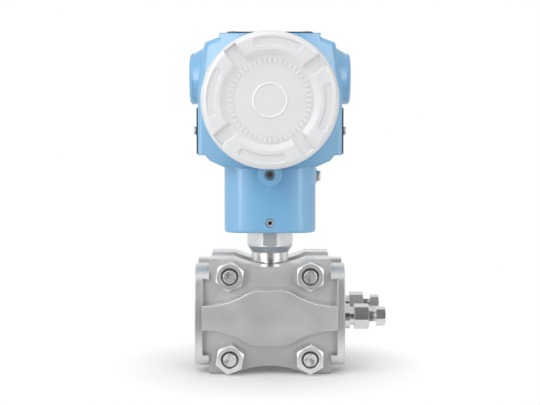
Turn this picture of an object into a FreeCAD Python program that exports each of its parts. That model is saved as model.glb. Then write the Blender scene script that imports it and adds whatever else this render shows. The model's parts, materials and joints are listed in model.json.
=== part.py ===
import FreeCAD, Part
import math
import os
import Sketcher
from FreeCAD import Placement, Rotation, Vector

# Differential pressure transmitter: a die-cast twin-compartment head that turns on a steel
# sensor neck, and a measuring capsule clamped between two cast process flanges.
#
# Millimetres. +Z is up and the origin lies on the surface under the neck's axis. The front,
# which faces -Y, carries the cover over the field terminals. The process ports open to -X
# and the vents stand out to +X.

SIZES = {
    # how far a cut runs past the face that it opens
    "overcut": 1.0,
    # process flanges, each measured from its inner face outwards
    "flange_height": 75.5,
    "flange_width": 79.0,
    "flange_thickness": 19.3,
    "arch_width": 47.0,
    "arch_depth": 5.3,
    "end_pad_width": 97.0,
    "end_pad_height": 66.0,
    "end_pad_thickness": 26.0,
    "end_pad_curve": 100.0,
    "end_pad_corner": 12.0,
    "milled_width": 87.4,
    "milled_height": 49.6,
    "belly_rise": 7.7,
    "belly_crest": 36.6,
    "belly_crest_flat": 12.0,
    "belly_crest_radius": 20.0,
    "belly_ends": 16.2,
    "belly_ends_flat": 1.7,
    "cast_round": 1.2,
    # interfaces of the flanges
    "port_spacing": 54.0,
    "port_radius": 5.7,
    "port_depth": 15.0,
    "flow_bore_radius": 3.0,
    "chamber_radius": 22.0,
    "chamber_depth": 1.5,
    "bolt_spacing_across": 52.0,
    "bolt_spacing_up": 54.0,
    "bolt_radius": 5.0,
    "bolt_clearance": 0.5,
    "bolt_proud": 0.8,
    "bolt_chamfer": 1.0,
    "nut_across_flats": 17.0,
    "nut_height": 8.0,
    "nut_chamfer": 0.8,
    "bolt_head_height": 6.4,
    # measuring capsule and neck
    "capsule_width": 20.0,
    "capsule_radius": 31.0,
    "capsule_edge": 1.5,
    "diaphragm_radius": 21.0,
    "diaphragm_thickness": 0.4,
    "diaphragm_seat": 1.0,
    "gasket_inner_radius": 23.5,
    "gasket_width": 3.4,
    "gasket_depth": 2.2,
    "seal_squeeze": 0.1,
    "throat_radius": 9.5,
    "neck_radius": 12.25,
    "neck_foot_gap": 1.0,
    "neck_taper_start": 1.8,
    "neck_taper_end": 6.2,
    "neck_length": 16.8,
    "bar_radius": 15.15,
    "bar_across_flats": 29.0,
    "bar_flats_margin": 0.8,
    "bar_shoulder": 1.3,
    "spigot_radius": 13.0,
    "spigot_length": 19.0,
    "spigot_chamfer": 1.0,
    "spigot_seal_height": 9.0,
    "neck_seal_thickness": 2.3,
    "turning_clearance": 0.05,
    "free_clearance": 0.3,
    "header_radius": 10.0,
    "header_height": 4.0,
    "header_pin_radius": 0.6,
    "header_pin_length": 3.0,
    "header_pin_circle": 6.0,
    # head: the covers' axis stands head_rise above the skirt's lower edge, and every drop or
    # rise below is measured from that axis, from the foot of the sides or from the top
    "head_rise": 85.9,
    "skirt_width": 59.6,
    "skirt_corner": 11.5,
    "skirt_round": 1.5,
    "body_depth": 68.0,
    "body_half_width": 46.3,
    "side_foot_drop": 35.2,
    "side_top_rise": 6.8,
    "upper_half_width": 42.4,
    "upper_drop": 9.4,
    "shoulder_half_width": 41.5,
    "shoulder_drop": 5.9,
    "top_pad_half_width": 32.2,
    "top_pad_height": 2.5,
    "top_pad_rise": 1.2,
    "lower_corner_half_width": 38.5,
    "lower_corner_drop": 3.6,
    "skirt_top_drop": 3.9,
    "body_round": 3.0,
    "barrel_radius": 41.5,
    "barrel_length": 91.0,
    "compartment_radius": 36.0,
    "thread_radius": 38.1,
    "thread_zone": 15.0,
    "wall_front": 9.0,
    "wall_thickness": 5.0,
    "passage_depth": 8.0,
    "passage_overlap": 2.8,
    "entry_rise": 13.8,
    "entry_offset": 10.0,
    "entry_boss_half_width": 52.0,
    "entry_boss_radius": 16.6,
    "entry_boss_root_radius": 18.8,
    "entry_boss_root_half_width": 42.0,
    "entry_boss_land": 2.5,
    "entry_boss_chamfer": 1.2,
    "entry_radius": 9.25,
    "entry_thread_length": 16.0,
    "entry_inner_radius": 8.0,
    "plug_depth": 10.0,
    "plug_socket": 10.0,
    "plug_socket_depth": 6.0,
    "lock_drop": 5.7,
    "lock_boss_radius": 7.4,
    "lock_boss_length": 90.0,
    "lock_recess_radius": 3.6,
    "lock_recess_depth": 3.0,
    "lock_screw_radius": 2.5,
    "lock_screw_length": 10.0,
    "set_rise": 6.4,
    "set_recess_radius": 3.05,
    "set_recess_depth": 1.2,
    "set_screw_radius": 2.4,
    "ground_drop": 7.8,
    "ground_screw_radius": 2.5,
    "ground_screw_length": 10.0,
    "ground_head_radius": 3.5,
    "ground_head_height": 2.8,
    "ground_slot_width": 1.2,
    "ground_washer_radius": 5.0,
    "ground_washer_thickness": 1.2,
    # covers
    "cover_radius": 43.1,
    "cover_height": 16.0,
    "cover_round": 4.0,
    "cover_gap": 0.5,
    "cover_wall": 4.0,
    "spigot_reach": 14.0,
    "spigot_wall": 4.0,
    "cover_recess_radius": 27.7,
    "cover_recess_slope": 3.6,
    "cover_recess_depth": 3.2,
    "cover_turn": 37.5,
    "tool_slot_width": 6.8,
    "tool_slot_reach": 40.2,
    "tool_slot_draft": 22.0,
    "pocket_inner_radius": 34.6,
    "pocket_outer_radius": 38.7,
    "pocket_half_angle": 21.0,
    "pocket_depth": 1.2,
    "pocket_draft": 35.0,
    "cover_seal_inner_radius": 35.6,
    "cover_seal_thickness": 2.3,
    "cover_seal_offset": 1.5,
    # plates and small screws
    "plate_thickness": 1.0,
    "side_plate_gap": 2.2,
    "side_plate_margin": 0.5,
    "side_plate_depth": 58.0,
    "top_plate_width": 55.0,
    "top_plate_depth": 58.0,
    "plate_corner": 2.0,
    "plate_screw_inset": 3.4,
    "plate_screw_radius": 1.5,
    "plate_screw_length": 6.0,
    "plate_screw_head_radius": 2.7,
    "plate_screw_head_height": 1.9,
    "plate_slot_width": 0.8,
    # field terminals and electronics
    "puck_clearance": 0.4,
    "terminal_base_thickness": 8.0,
    "terminal_rise": 7.0,
    "terminal_rise_height": 22.0,
    "terminal_pitch": 11.0,
    "terminal_slot_width": 8.6,
    "terminal_slot_depth": 4.0,
    "terminal_end_wall": 1.0,
    "terminal_back_wall": 3.0,
    "terminal_skin": 1.0,
    "terminal_screw_radius": 2.0,
    "terminal_screw_length": 9.0,
    "terminal_head_radius": 3.4,
    "terminal_head_height": 2.2,
    "terminal_clamp_thickness": 1.0,
    "inner_screw_radius": 2.0,
    "inner_screw_head_radius": 3.5,
    "inner_screw_head_height": 2.6,
    "inner_screw_bite": 3.0,
    "inner_slot_width": 0.9,
    "terminal_fixing_offset": 27.0,
    "carrier_fixing_offset": 25.0,
    "carrier_thickness": 12.0,
    "carrier_floor": 3.0,
    "carrier_wall": 2.5,
    "board_thickness": 1.6,
    "board_radius": 32.0,
    "processor_across": 4.0,
    "processor_up": 6.0,
    "processor_width": 12.0,
    "processor_length": 12.0,
    "processor_height": 1.6,
    "converter_across": -14.0,
    "converter_up": 8.0,
    "converter_width": 9.0,
    "converter_length": 7.0,
    "converter_height": 1.8,
    "connector_across": 0.0,
    "connector_up": -18.0,
    "connector_width": 20.0,
    "connector_length": 6.0,
    "connector_height": 6.5,
    "filter_across": 17.0,
    "filter_up": -4.0,
    "filter_width": 6.0,
    "filter_length": 8.0,
    "filter_height": 3.0,
    "feedthrough_radius": 6.0,
    # vents on the right ends of the flanges
    "vent_collar_radius": 8.0,
    "vent_collar_end": 3.4,
    "vent_neck_radius": 5.6,
    "vent_hex_start": 6.2,
    "vent_hex_end": 15.9,
    "vent_across_flats": 14.6,
    "vent_hex_turn": 23.0,
    "vent_bore_radius": 3.2,
    "vent_thread_length": 10.0,
    "vent_seat_depth": 4.0,
    "vent_seat_radius": 1.6,
    "vent_ball_radius": 2.4,
    "vent_stem_tip_gap": 0.05,
    "vent_stem_chamfer": 0.6,
    "vent_cap_start": 20.6,
    "vent_cap_end": 26.6,
    "vent_cap_across_flats": 11.0,
    "vent_outlet_radius": 1.2,
}

doc = FreeCAD.newDocument("PressureTransmitter")
sheet = doc.addObject("Spreadsheet::Sheet", "Sizes")
for row, (word, number) in enumerate(SIZES.items(), start=1):
    sheet.set(f"A{row}", word)
    sheet.set(f"B{row}", str(number))
    sheet.setAlias(f"B{row}", word)
doc.recompute()


class Size:
    """A length with its value now and the formula that ties it to the sheet."""

    def __init__(self, value, text):
        self.value = float(value)
        self.text = text

    def __add__(self, other):
        other = as_size(other)
        return Size(self.value + other.value, f"({self.text} + {other.text})")

    def __sub__(self, other):
        other = as_size(other)
        return Size(self.value - other.value, f"({self.text} - {other.text})")

    def __mul__(self, other):
        other = as_size(other)
        return Size(self.value * other.value, f"({self.text} * {other.text})")

    def __truediv__(self, other):
        other = as_size(other)
        return Size(self.value / other.value, f"({self.text} / {other.text})")

    def __neg__(self):
        return Size(-self.value, f"(0 - {self.text})")

    def __radd__(self, other):
        return as_size(other) + self

    def __rsub__(self, other):
        return as_size(other) - self

    def __rmul__(self, other):
        return as_size(other) * self


class Sheet:
    """Gives each size in the sheet by its name."""

    def __getattr__(self, word):
        return Size(sheet.get(word), f"Sizes.{word}")


def as_size(number):
    return number if isinstance(number, Size) else Size(number, repr(number))


def root(size):
    return Size(math.sqrt(size.value), f"sqrt({size.text})")


def cosine(degrees):
    angle = as_size(degrees)
    return Size(math.cos(math.radians(angle.value)), f"cos({angle.text})")


def sine(degrees):
    angle = as_size(degrees)
    return Size(math.sin(math.radians(angle.value)), f"sin({angle.text})")


def is_zero(size):
    return size.text in ("0", "0.0")


dim = Sheet()


# Sketches and features

def tie(thing, property_name, size):
    thing.setExpression(property_name, as_size(size).text)


def new_sketch(body, name, plane, shift):
    """An empty sketch on one of the body's own planes, moved within that plane's frame."""
    sketch = body.newObject("Sketcher::SketchObject", name)
    support = next(item for item in body.Origin.OriginFeatures if item.Role == plane)
    sketch.AttachmentSupport = (support, "")
    sketch.MapMode = "FlatFace"
    for axis, amount in zip("xyz", shift):
        if not is_zero(as_size(amount)):
            tie(sketch, f".AttachmentOffset.Base.{axis}", amount)
    return sketch


def add_ties(sketch, constraints, ties):
    """Add the constraints, then tie the numbered ones to their sizes."""
    first = sketch.ConstraintCount
    sketch.addConstraint(constraints)
    for number, size in ties.items():
        sketch.setExpression(f"Constraints[{first + number}]", size.text)


def hold_point(geometry, corner, x, y, constraints, ties):
    """Hold one point of a sketch at x, y from the sketch's origin."""
    for size, kind, axis in ((as_size(x), "DistanceX", -2), (as_size(y), "DistanceY", -1)):
        if is_zero(size):
            constraints.append(Sketcher.Constraint("PointOnObject", geometry, corner, axis))
        else:
            ties[len(constraints)] = size
            constraints.append(Sketcher.Constraint(kind, -1, 1, geometry, corner, size.value))


def draw(body, name, plane, steps, shift=(0, 0, 0)):
    """Draw a closed outline. A step (x, y) is a straight side that ends there. A step
    (x, y, radius) is an arc that turns left, or right where the radius is negative. The
    last step ends where the first side starts."""
    sketch = new_sketch(body, name, plane, shift)
    geometry = []
    constraints = []
    ties = {}
    ends = []
    start = steps[-1]
    for step in steps:
        a = Vector(as_size(start[0]).value, as_size(start[1]).value, 0)
        b = Vector(as_size(step[0]).value, as_size(step[1]).value, 0)
        if len(step) == 2:
            geometry.append(Part.LineSegment(a, b))
            ends.append((1, 2))
        else:
            bend = as_size(step[2]).value
            half = (b - a).Length / 2
            side = Vector(a.y - b.y, b.x - a.x, 0).normalize() * math.copysign(1, bend)
            centre = (a + b) / 2 + side * math.sqrt(bend ** 2 - half ** 2)
            first, last = (a, b) if bend > 0 else (b, a)
            angles = [math.atan2(p.y - centre.y, p.x - centre.x) for p in (first, last)]
            circle = Part.Circle(centre, Vector(0, 0, 1), abs(bend))
            geometry.append(Part.ArcOfCircle(circle, *angles))
            ends.append((1, 2) if bend > 0 else (2, 1))
        start = step
    sketch.addGeometry(geometry, False)
    start = steps[-1]
    for number, step in enumerate(steps):
        hold_point(number, ends[number][0], start[0], start[1], constraints, ties)
        follower = (number + 1) % len(steps)
        constraints.append(Sketcher.Constraint("Coincident", number, ends[number][1],
                                               follower, ends[follower][0]))
        if len(step) == 3:
            bend = as_size(step[2])
            bend = bend if bend.value > 0 else -bend
            ties[len(constraints)] = bend
            constraints.append(Sketcher.Constraint("Radius", number, bend.value))
        start = step
    add_ties(sketch, constraints, ties)
    return sketch


def draw_circles(body, name, plane, circles, shift=(0, 0, 0)):
    """Draw circles, each given as x, y, radius."""
    sketch = new_sketch(body, name, plane, shift)
    constraints = []
    ties = {}
    for number, (x, y, radius) in enumerate(circles):
        middle = Vector(as_size(x).value, as_size(y).value, 0)
        sketch.addGeometry(Part.Circle(middle, Vector(0, 0, 1), as_size(radius).value), False)
        hold_point(number, 3, x, y, constraints, ties)
        ties[len(constraints)] = as_size(radius)
        constraints.append(Sketcher.Constraint("Radius", number, as_size(radius).value))
    add_ties(sketch, constraints, ties)
    return sketch


def box_steps(x0, y0, x1, y1):
    return [(x1, y0), (x1, y1), (x0, y1), (x0, y0)]


def hexagon_steps(across_flats, turn=0):
    """The corners of a hexagon, the first one at the given angle."""
    corner = across_flats / root(as_size(3))
    return [(corner * cosine(turn + 60 * k), corner * sine(turn + 60 * k)) for k in range(1, 7)]


def new_body(label):
    body = doc.addObject("PartDesign::Body", label)
    body.Label = label
    return body


def pad(body, name, sketch, length, symmetric=False, turned_round=False):
    feature = body.newObject("PartDesign::Pad", name)
    feature.Profile = sketch
    tie(feature, "Length", length)
    feature.SideType = "Symmetric" if symmetric else "One side"
    feature.Reversed = turned_round
    return feature


def pocket(body, name, sketch, length, symmetric=False, turned_round=False, draft=None):
    """A cut along the sketch's normal, whose walls lean outwards where a draft is given."""
    feature = body.newObject("PartDesign::Pocket", name)
    feature.Profile = sketch
    tie(feature, "Length", length)
    feature.SideType = "Symmetric" if symmetric else "One side"
    feature.Reversed = turned_round
    if draft is not None:
        tie(feature, "TaperAngle", draft)
    return feature


def loft(body, name, first, last):
    """A solid with straight walls from one outline to another."""
    feature = body.newObject("PartDesign::AdditiveLoft", name)
    feature.Profile = first
    feature.Sections = [last]
    feature.Ruled = True
    return feature


def turn(body, name, sketch, axis="V_Axis", cutting=False):
    """Turn an outline once round an axis of its own sketch, to add or to cut."""
    kind = "PartDesign::Groove" if cutting else "PartDesign::Revolution"
    feature = body.newObject(kind, name)
    feature.Profile = sketch
    feature.ReferenceAxis = (sketch, [axis])
    feature.Angle = 360
    return feature


DIRECTIONS = {
    "+X": Rotation(Vector(0, 1, 0), 90),
    "-X": Rotation(Vector(0, 1, 0), -90),
    "+Y": Rotation(Vector(1, 0, 0), -90),
    "-Y": Rotation(Vector(1, 0, 0), 90),
    "+Z": Rotation(),
    "-Z": Rotation(Vector(1, 0, 0), 180),
}


def place(thing, x=0, y=0, z=0, rotation=Rotation()):
    """Put a piece at x, y, z, its own Z axis turned as the rotation says."""
    thing.Placement = Placement(Vector(0, 0, 0), rotation)
    for axis, amount in zip("xyz", (x, y, z)):
        tie(thing, f".Placement.Base.{axis}", amount)
    return thing


def drill(body, name, radius, depth, mouth, direction):
    """A plain round hole that starts at its mouth and runs in one of the six directions."""
    hole = body.newObject("PartDesign::SubtractiveCylinder", name)
    tie(hole, "Radius", radius)
    tie(hole, "Height", depth)
    hole.MapMode = "Deactivated"
    return place(hole, *mouth, DIRECTIONS[direction])


def pick_edges(body, wanted):
    """The body's last feature with the names of its edges that the test picks."""
    doc.recompute()
    base = body.Tip
    return base, [f"Edge{number}" for number, edge in enumerate(base.Shape.Edges, start=1)
                  if wanted(edge)]


def round_edges(body, name, radius, wanted):
    picked = pick_edges(body, wanted)
    feature = body.newObject("PartDesign::Fillet", name)
    feature.Base = picked
    tie(feature, "Radius", radius)
    return feature


def bevel_edges(body, name, size, wanted):
    picked = pick_edges(body, wanted)
    feature = body.newObject("PartDesign::Chamfer", name)
    feature.Base = picked
    tie(feature, "Size", size)
    return feature


def repeat_round(body, name, originals, count):
    """Repeat features evenly round the body's Z axis."""
    pattern = body.newObject("PartDesign::PolarPattern", name)
    pattern.Originals = originals
    axis = next(item for item in body.Origin.OriginFeatures if item.Role == "Z_Axis")
    pattern.Axis = (axis, [""])
    pattern.Angle = 360
    pattern.Occurrences = count
    body.Tip = pattern
    return pattern


# how near a measured edge has to lie to the place that it is looked for
CLOSE = 1e-3


def runs_along(edge, axis):
    """Whether an edge is straight and lies along the axis 0, 1 or 2."""
    if not isinstance(edge.Curve, Part.Line):
        return False
    return abs(abs(edge.Curve.Direction[axis]) - 1) < CLOSE


def middle_of(edge):
    return edge.valueAt((edge.FirstParameter + edge.LastParameter) / 2)


def group(label, pieces):
    """Several alike pieces that share one node."""
    together = doc.addObject("Part::Compound", label)
    together.Label = label
    together.Links = pieces
    return together


# Places that follow from the sizes

overcut = dim.overcut
port_height = dim.flange_height / 2
inner_face = dim.capsule_width / 2
pad_plane = inner_face + dim.flange_thickness
belly_plane = pad_plane + dim.belly_rise
end_face = dim.end_pad_width / 2
port_out = dim.port_spacing / 2
taper_start = dim.flange_height + dim.neck_taper_start
taper_end = dim.flange_height + dim.neck_taper_end
skirt_bottom = dim.flange_height + dim.neck_length
bar_top = skirt_bottom + dim.bar_shoulder
spigot_top = bar_top + dim.spigot_length
spigot_bore_radius = dim.spigot_radius + dim.turning_clearance
header_top = spigot_top + dim.header_height + dim.header_pin_length
wall_back = dim.wall_front + dim.wall_thickness
barrel_face = dim.barrel_length / 2
cover_back = barrel_face + dim.cover_gap
skirt_face = dim.skirt_width / 2
head_axis = skirt_bottom + dim.head_rise
head_top = head_axis + dim.barrel_radius + dim.top_pad_rise
side_foot = head_axis - dim.side_foot_drop
lower_corner = side_foot - dim.lower_corner_drop
skirt_top = lower_corner - dim.skirt_top_drop
entry_height = head_axis + dim.entry_rise
lock_height = head_axis - dim.barrel_radius - dim.lock_drop
set_height = skirt_bottom + dim.set_rise
set_screw_length = skirt_face - dim.set_recess_depth - dim.spigot_radius - dim.free_clearance
ground_height = skirt_top - dim.ground_drop

subparts = []


def keep(thing):
    subparts.append(thing)
    return thing


# Process flanges

def flange_cut_steps():
    """The outline that is milled back to the pad plane: the whole height between the end
    pads, and a wider band in the middle."""
    narrow = dim.flange_width / 2
    wide = dim.milled_width / 2
    low = dim.milled_height / 2
    high = dim.flange_height / 2
    return [(narrow, -high), (narrow, -low), (wide, -low), (wide, low), (narrow, low),
            (narrow, high), (-narrow, high), (-narrow, low), (-wide, low), (-wide, -low),
            (-narrow, -low), (-narrow, -high)]


def belly_steps():
    """The raised flow passage: high in the middle, narrow at its ends, with an S-shaped
    flank of two arcs that meet where their radii share the drop."""
    reach = dim.milled_width / 2
    crest = dim.belly_crest / 2
    ends = dim.belly_ends / 2
    flat = dim.belly_crest_flat / 2
    foot = reach - dim.belly_ends_flat
    run = foot - flat
    drop = crest - ends
    both_radii = (run * run + drop * drop) / (2 * drop)
    inner = dim.belly_crest_radius
    outer = both_radii - inner
    share = inner / both_radii
    meet_x = flat + run * share
    meet_y = crest - drop * share
    return [(reach, -ends), (reach, ends), (foot, ends),
            (meet_x, meet_y, -outer), (flat, crest, inner), (-flat, crest),
            (-meet_x, meet_y, inner), (-foot, ends, -outer), (-reach, ends),
            (-reach, -ends), (-foot, -ends), (-meet_x, -meet_y, -outer),
            (-flat, -crest, inner), (flat, -crest),
            (meet_x, -meet_y, inner), (foot, -ends, -outer)]


def end_pad_steps():
    """Side outline of the end pads, crowned at the front and rounded above and below."""
    half = dim.end_pad_height / 2
    crest = inner_face + dim.end_pad_thickness
    big = dim.end_pad_curve
    corner = dim.end_pad_corner
    # the corner's centre lies inside the crown by its own radius
    centre_y = half - corner
    centre_z = crest - big + root((big - corner) * (big - corner) - centre_y * centre_y)
    share = big / (big - corner)
    meet_y = centre_y * share
    meet_z = crest - big + (centre_z - (crest - big)) * share
    return [(-half, inner_face), (half, inner_face), (half, centre_z),
            (meet_y, meet_z, corner), (-meet_y, meet_z, big), (-half, centre_z, corner)]


def arch_steps(up):
    """One arch, a segment of a circle above its chord at the flange's edge."""
    edge = up * dim.flange_height / 2
    half = dim.arch_width / 2
    depth = dim.arch_depth
    radius = (half * half + depth * depth) / (2 * depth)
    return [(up * half, edge), (-up * half, edge, -radius)]


def make_flange(label, rotation):
    """A flange in its own frame: X along its width, Y up from its middle and Z outwards
    from the middle of the capsule."""
    body = new_body(label)
    ends = draw(body, "EndPadOutline", "YZ_Plane", end_pad_steps())
    pad(body, "EndPads", ends, dim.end_pad_width, symmetric=True)
    doc.recompute()
    milled = draw(body, "MilledOutline", "XY_Plane", flange_cut_steps(), (0, 0, pad_plane))
    pocket(body, "MilledFace", milled, dim.end_pad_thickness, turned_round=True)
    block = draw(body, "BlockOutline", "XY_Plane",
                 box_steps(-dim.flange_width / 2, -dim.flange_height / 2,
                           dim.flange_width / 2, dim.flange_height / 2), (0, 0, inner_face))
    pad(body, "Block", block, dim.flange_thickness)
    round_edges(body, "BlockCorners", dim.cast_round,
                lambda edge: runs_along(edge, 2)
                and abs(abs(middle_of(edge).y) - SIZES["flange_height"] / 2) < CLOSE)
    belly = draw(body, "BellyOutline", "XY_Plane", belly_steps(), (0, 0, pad_plane))
    pad(body, "Belly", belly, dim.belly_rise)
    round_edges(body, "BellyEdges", dim.cast_round / 2,
                lambda edge: abs(middle_of(edge).z - belly_plane.value) < CLOSE
                and abs(middle_of(edge).x) < SIZES["milled_width"] / 2 - CLOSE)
    for name, up in (("TopArch", 1), ("BottomArch", -1)):
        arch = draw(body, name + "Outline", "XY_Plane", arch_steps(up))
        pocket(body, name, arch, 2 * belly_plane, symmetric=True)
    # round holes
    for number, (across, up) in enumerate(((-1, 1), (1, 1), (-1, -1), (1, -1))):
        drill(body, f"BoltHole{number}", dim.bolt_radius + dim.bolt_clearance, 2 * belly_plane,
              (across * dim.bolt_spacing_across / 2, up * dim.bolt_spacing_up / 2, 0), "+Z")
    drill(body, "Port", dim.port_radius, dim.port_depth, (-end_face, 0, port_out), "+X")
    drill(body, "VentHole", dim.vent_neck_radius, dim.vent_thread_length + dim.free_clearance,
          (end_face, 0, port_out), "-X")
    drill(body, "FlowBore", dim.flow_bore_radius, dim.end_pad_width - dim.port_depth,
          (-end_face + dim.port_depth / 2, 0, port_out), "+X")
    drill(body, "ChamberBore", dim.flow_bore_radius, port_out, (0, 0, 0), "+Z")
    drill(body, "Chamber", dim.chamber_radius, inner_face + dim.chamber_depth, (0, 0, 0), "+Z")
    groove = draw(body, "GasketGrooveOutline", "XZ_Plane",
                  box_steps(dim.gasket_inner_radius, inner_face - overcut,
                            dim.gasket_inner_radius + dim.gasket_width,
                            inner_face + dim.gasket_depth))
    turn(body, "GasketGroove", groove, cutting=True)
    return keep(place(body, 0, 0, port_height, rotation))


make_flange("front_flange", DIRECTIONS["-Y"])
make_flange("rear_flange", DIRECTIONS["+Y"])


# Seals and diaphragms of the measuring cell

def make_gasket(label, side):
    body = new_body(label)
    inner = dim.gasket_inner_radius + dim.seal_squeeze
    outer = dim.gasket_inner_radius + dim.gasket_width - dim.seal_squeeze
    ring = draw(body, "RingOutline", "XZ_Plane",
                box_steps(inner, 0, outer, dim.gasket_depth - dim.seal_squeeze))
    turn(body, "Ring", ring)
    rotation = DIRECTIONS["-Y" if side < 0 else "+Y"]
    return keep(place(body, 0, side * inner_face, port_height, rotation))


# where the wave starts and ends, as shares of the diaphragm's radius
WAVE_START = 0.55
WAVE_END = 0.8


def make_diaphragm(label, side):
    """A thin disc with one ring-shaped wave, seated in the capsule's face."""
    body = new_body(label)
    outer = dim.diaphragm_radius
    sheet_metal = dim.diaphragm_thickness
    near = outer * WAVE_START
    far = outer * WAVE_END
    top = (near + far) / 2
    disc = draw(body, "DiscOutline", "XZ_Plane",
                [(near, 0), (top, sheet_metal), (far, 0), (outer, 0), (outer, sheet_metal),
                 (far, sheet_metal), (top, 2 * sheet_metal), (near, sheet_metal),
                 (0, sheet_metal), (0, 0)])
    turn(body, "Disc", disc)
    rotation = DIRECTIONS["-Y" if side < 0 else "+Y"]
    seat = inner_face - dim.diaphragm_seat
    return keep(place(body, 0, side * seat, port_height, rotation))


for word, direction in (("front", -1), ("rear", 1)):
    make_gasket(f"{word}_gasket", direction)
    make_diaphragm(f"{word}_diaphragm", direction)


# Sensor: capsule and neck, one welded piece of steel

neck_seal_inner = dim.spigot_radius - dim.neck_seal_thickness + 2 * dim.seal_squeeze

# the flats are cut by a ring round the bar, as wide as this many of its radii
RING_REACH = 1.5


def make_sensor():
    body = new_body("sensor_body")
    neck_foot = dim.flange_height - dim.arch_depth + dim.neck_foot_gap
    chamfer = dim.spigot_chamfer
    disc = draw_circles(body, "CapsuleOutline", "XZ_Plane", [(0, port_height, dim.capsule_radius)])
    pad(body, "Capsule", disc, dim.capsule_width, symmetric=True)
    round_edges(body, "CapsuleEdges", dim.capsule_edge, lambda edge: True)
    root_height = port_height + dim.capsule_radius / 2
    neck = draw(body, "NeckOutline", "XZ_Plane",
                [(dim.throat_radius, root_height), (dim.throat_radius, neck_foot),
                 (dim.neck_radius, neck_foot), (dim.neck_radius, taper_start),
                 (dim.bar_radius, taper_end), (dim.bar_radius, bar_top),
                 (dim.spigot_radius, bar_top), (dim.spigot_radius, spigot_top - chamfer),
                 (dim.spigot_radius - chamfer, spigot_top), (0, spigot_top), (0, root_height)])
    turn(body, "Neck", neck)
    doc.recompute()
    # six shallow flats, cut where the bar stands outside its hexagon
    flats_start = taper_end + dim.bar_flats_margin
    flats = draw(body, "FlatsOutline", "XY_Plane", hexagon_steps(dim.bar_across_flats),
                 (0, 0, flats_start))
    reach = RING_REACH * dim.bar_radius
    rim = Part.Circle(Vector(0, 0, 0), Vector(0, 0, 1), reach.value)
    circle = flats.addGeometry(rim, False)
    flats.addConstraint([Sketcher.Constraint("Coincident", circle, 3, -1, 1)])
    add_ties(flats, [Sketcher.Constraint("Radius", circle, reach.value)], {0: reach})
    pocket(body, "Flats", flats, bar_top - flats_start, turned_round=True)
    groove_start = bar_top + dim.spigot_seal_height
    seal = draw(body, "SealGrooveOutline", "XZ_Plane",
                box_steps(neck_seal_inner, groove_start, dim.spigot_radius + overcut,
                          groove_start + dim.neck_seal_thickness + 2 * dim.seal_squeeze))
    turn(body, "SealGroove", seal, cutting=True)
    for name, side, way in (("FrontSeat", -1, "+Y"), ("RearSeat", 1, "-Y")):
        drill(body, name, dim.diaphragm_radius + dim.seal_squeeze, dim.diaphragm_seat,
              (0, side * inner_face, port_height), way)
    return keep(body)


make_sensor()


def make_ring(label, inner_radius, thickness, x, y, z, direction):
    """A round-section seal ring."""
    ring = doc.addObject("Part::Torus", label)
    ring.Label = label
    tie(ring, "Radius1", inner_radius + thickness / 2)
    tie(ring, "Radius2", thickness / 2)
    return keep(place(ring, x, y, z, DIRECTIONS[direction]))


make_ring("neck_o_ring", neck_seal_inner, dim.neck_seal_thickness - 2 * dim.seal_squeeze, 0, 0,
          bar_top + dim.spigot_seal_height + dim.neck_seal_thickness / 2 + dim.seal_squeeze, "+Z")

header = new_body("sensor_header")
pad(header, "Disc", draw_circles(header, "DiscOutline", "XY_Plane", [(0, 0, dim.header_radius)]),
    dim.header_height)
keep(place(header, 0, 0, spigot_top))

HEADER_PINS = 6
pins = []
for number in range(HEADER_PINS):
    pin = doc.addObject("Part::Cylinder", f"HeaderPin{number}")
    tie(pin, "Radius", dim.header_pin_radius)
    tie(pin, "Height", dim.header_pin_length)
    angle = 360 / HEADER_PINS * number
    place(pin, dim.header_pin_circle * cosine(angle), dim.header_pin_circle * sine(angle),
          spigot_top + dim.header_height)
    pins.append(pin)
keep(group("header_pins", pins))


# Flange bolts and nuts

# the round face left on a hexagon's end, as a share of its width, and how steep the cut is
LAND_SHARE = 0.97
CORNER_SLOPE = 0.5


def chamfer_hexagon(body, name, across_flats, height):
    """Take the corners off the outer end of a hexagon."""
    outer = across_flats / root(as_size(3)) + overcut
    inner = across_flats / 2 * LAND_SHARE
    cut = draw(body, name + "Outline", "XZ_Plane",
               [(inner, height), (outer, height - (outer - inner) * CORNER_SLOPE),
                (outer, height)])
    turn(body, name, cut, cutting=True)


def make_nut(label, x, z, turned):
    body = new_body(label)
    outline = draw(body, "HexOutline", "XY_Plane", hexagon_steps(dim.nut_across_flats))
    pad(body, "Hex", outline, dim.nut_height)
    doc.recompute()
    chamfer_hexagon(body, "Corners", dim.nut_across_flats, dim.nut_height)
    hole = dim.bolt_radius + dim.turning_clearance
    bore = draw(body, "BoreOutline", "XZ_Plane",
                [(hole, 0), (hole, dim.nut_height - dim.nut_chamfer),
                 (hole + dim.nut_chamfer, dim.nut_height), (0, dim.nut_height), (0, 0)])
    turn(body, "Bore", bore, cutting=True)
    spin = DIRECTIONS["-Y"].multiply(Rotation(Vector(0, 0, 1), turned))
    return keep(place(body, x, -pad_plane, z, spin))


def make_bolt(label, x, z, turned):
    """Head behind the rear flange, shank through both flanges, end just past the nut."""
    body = new_body(label)
    head = dim.bolt_head_height
    shank = 2 * pad_plane + dim.nut_height + dim.bolt_proud
    outline = draw(body, "HeadOutline", "XY_Plane", hexagon_steps(dim.nut_across_flats),
                   (0, 0, 0))
    pad(body, "Head", outline, head)
    doc.recompute()
    chamfer_hexagon(body, "Corners", dim.nut_across_flats, head)
    rod = draw(body, "ShankOutline", "XZ_Plane",
               [(dim.bolt_radius, 0), (dim.bolt_radius, dim.bolt_chamfer - shank),
                (dim.bolt_radius - dim.bolt_chamfer, -shank), (0, -shank), (0, 0)])
    turn(body, "Shank", rod)
    spin = DIRECTIONS["+Y"].multiply(Rotation(Vector(0, 0, 1), turned))
    return keep(place(body, x, pad_plane, z, spin))


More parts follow.
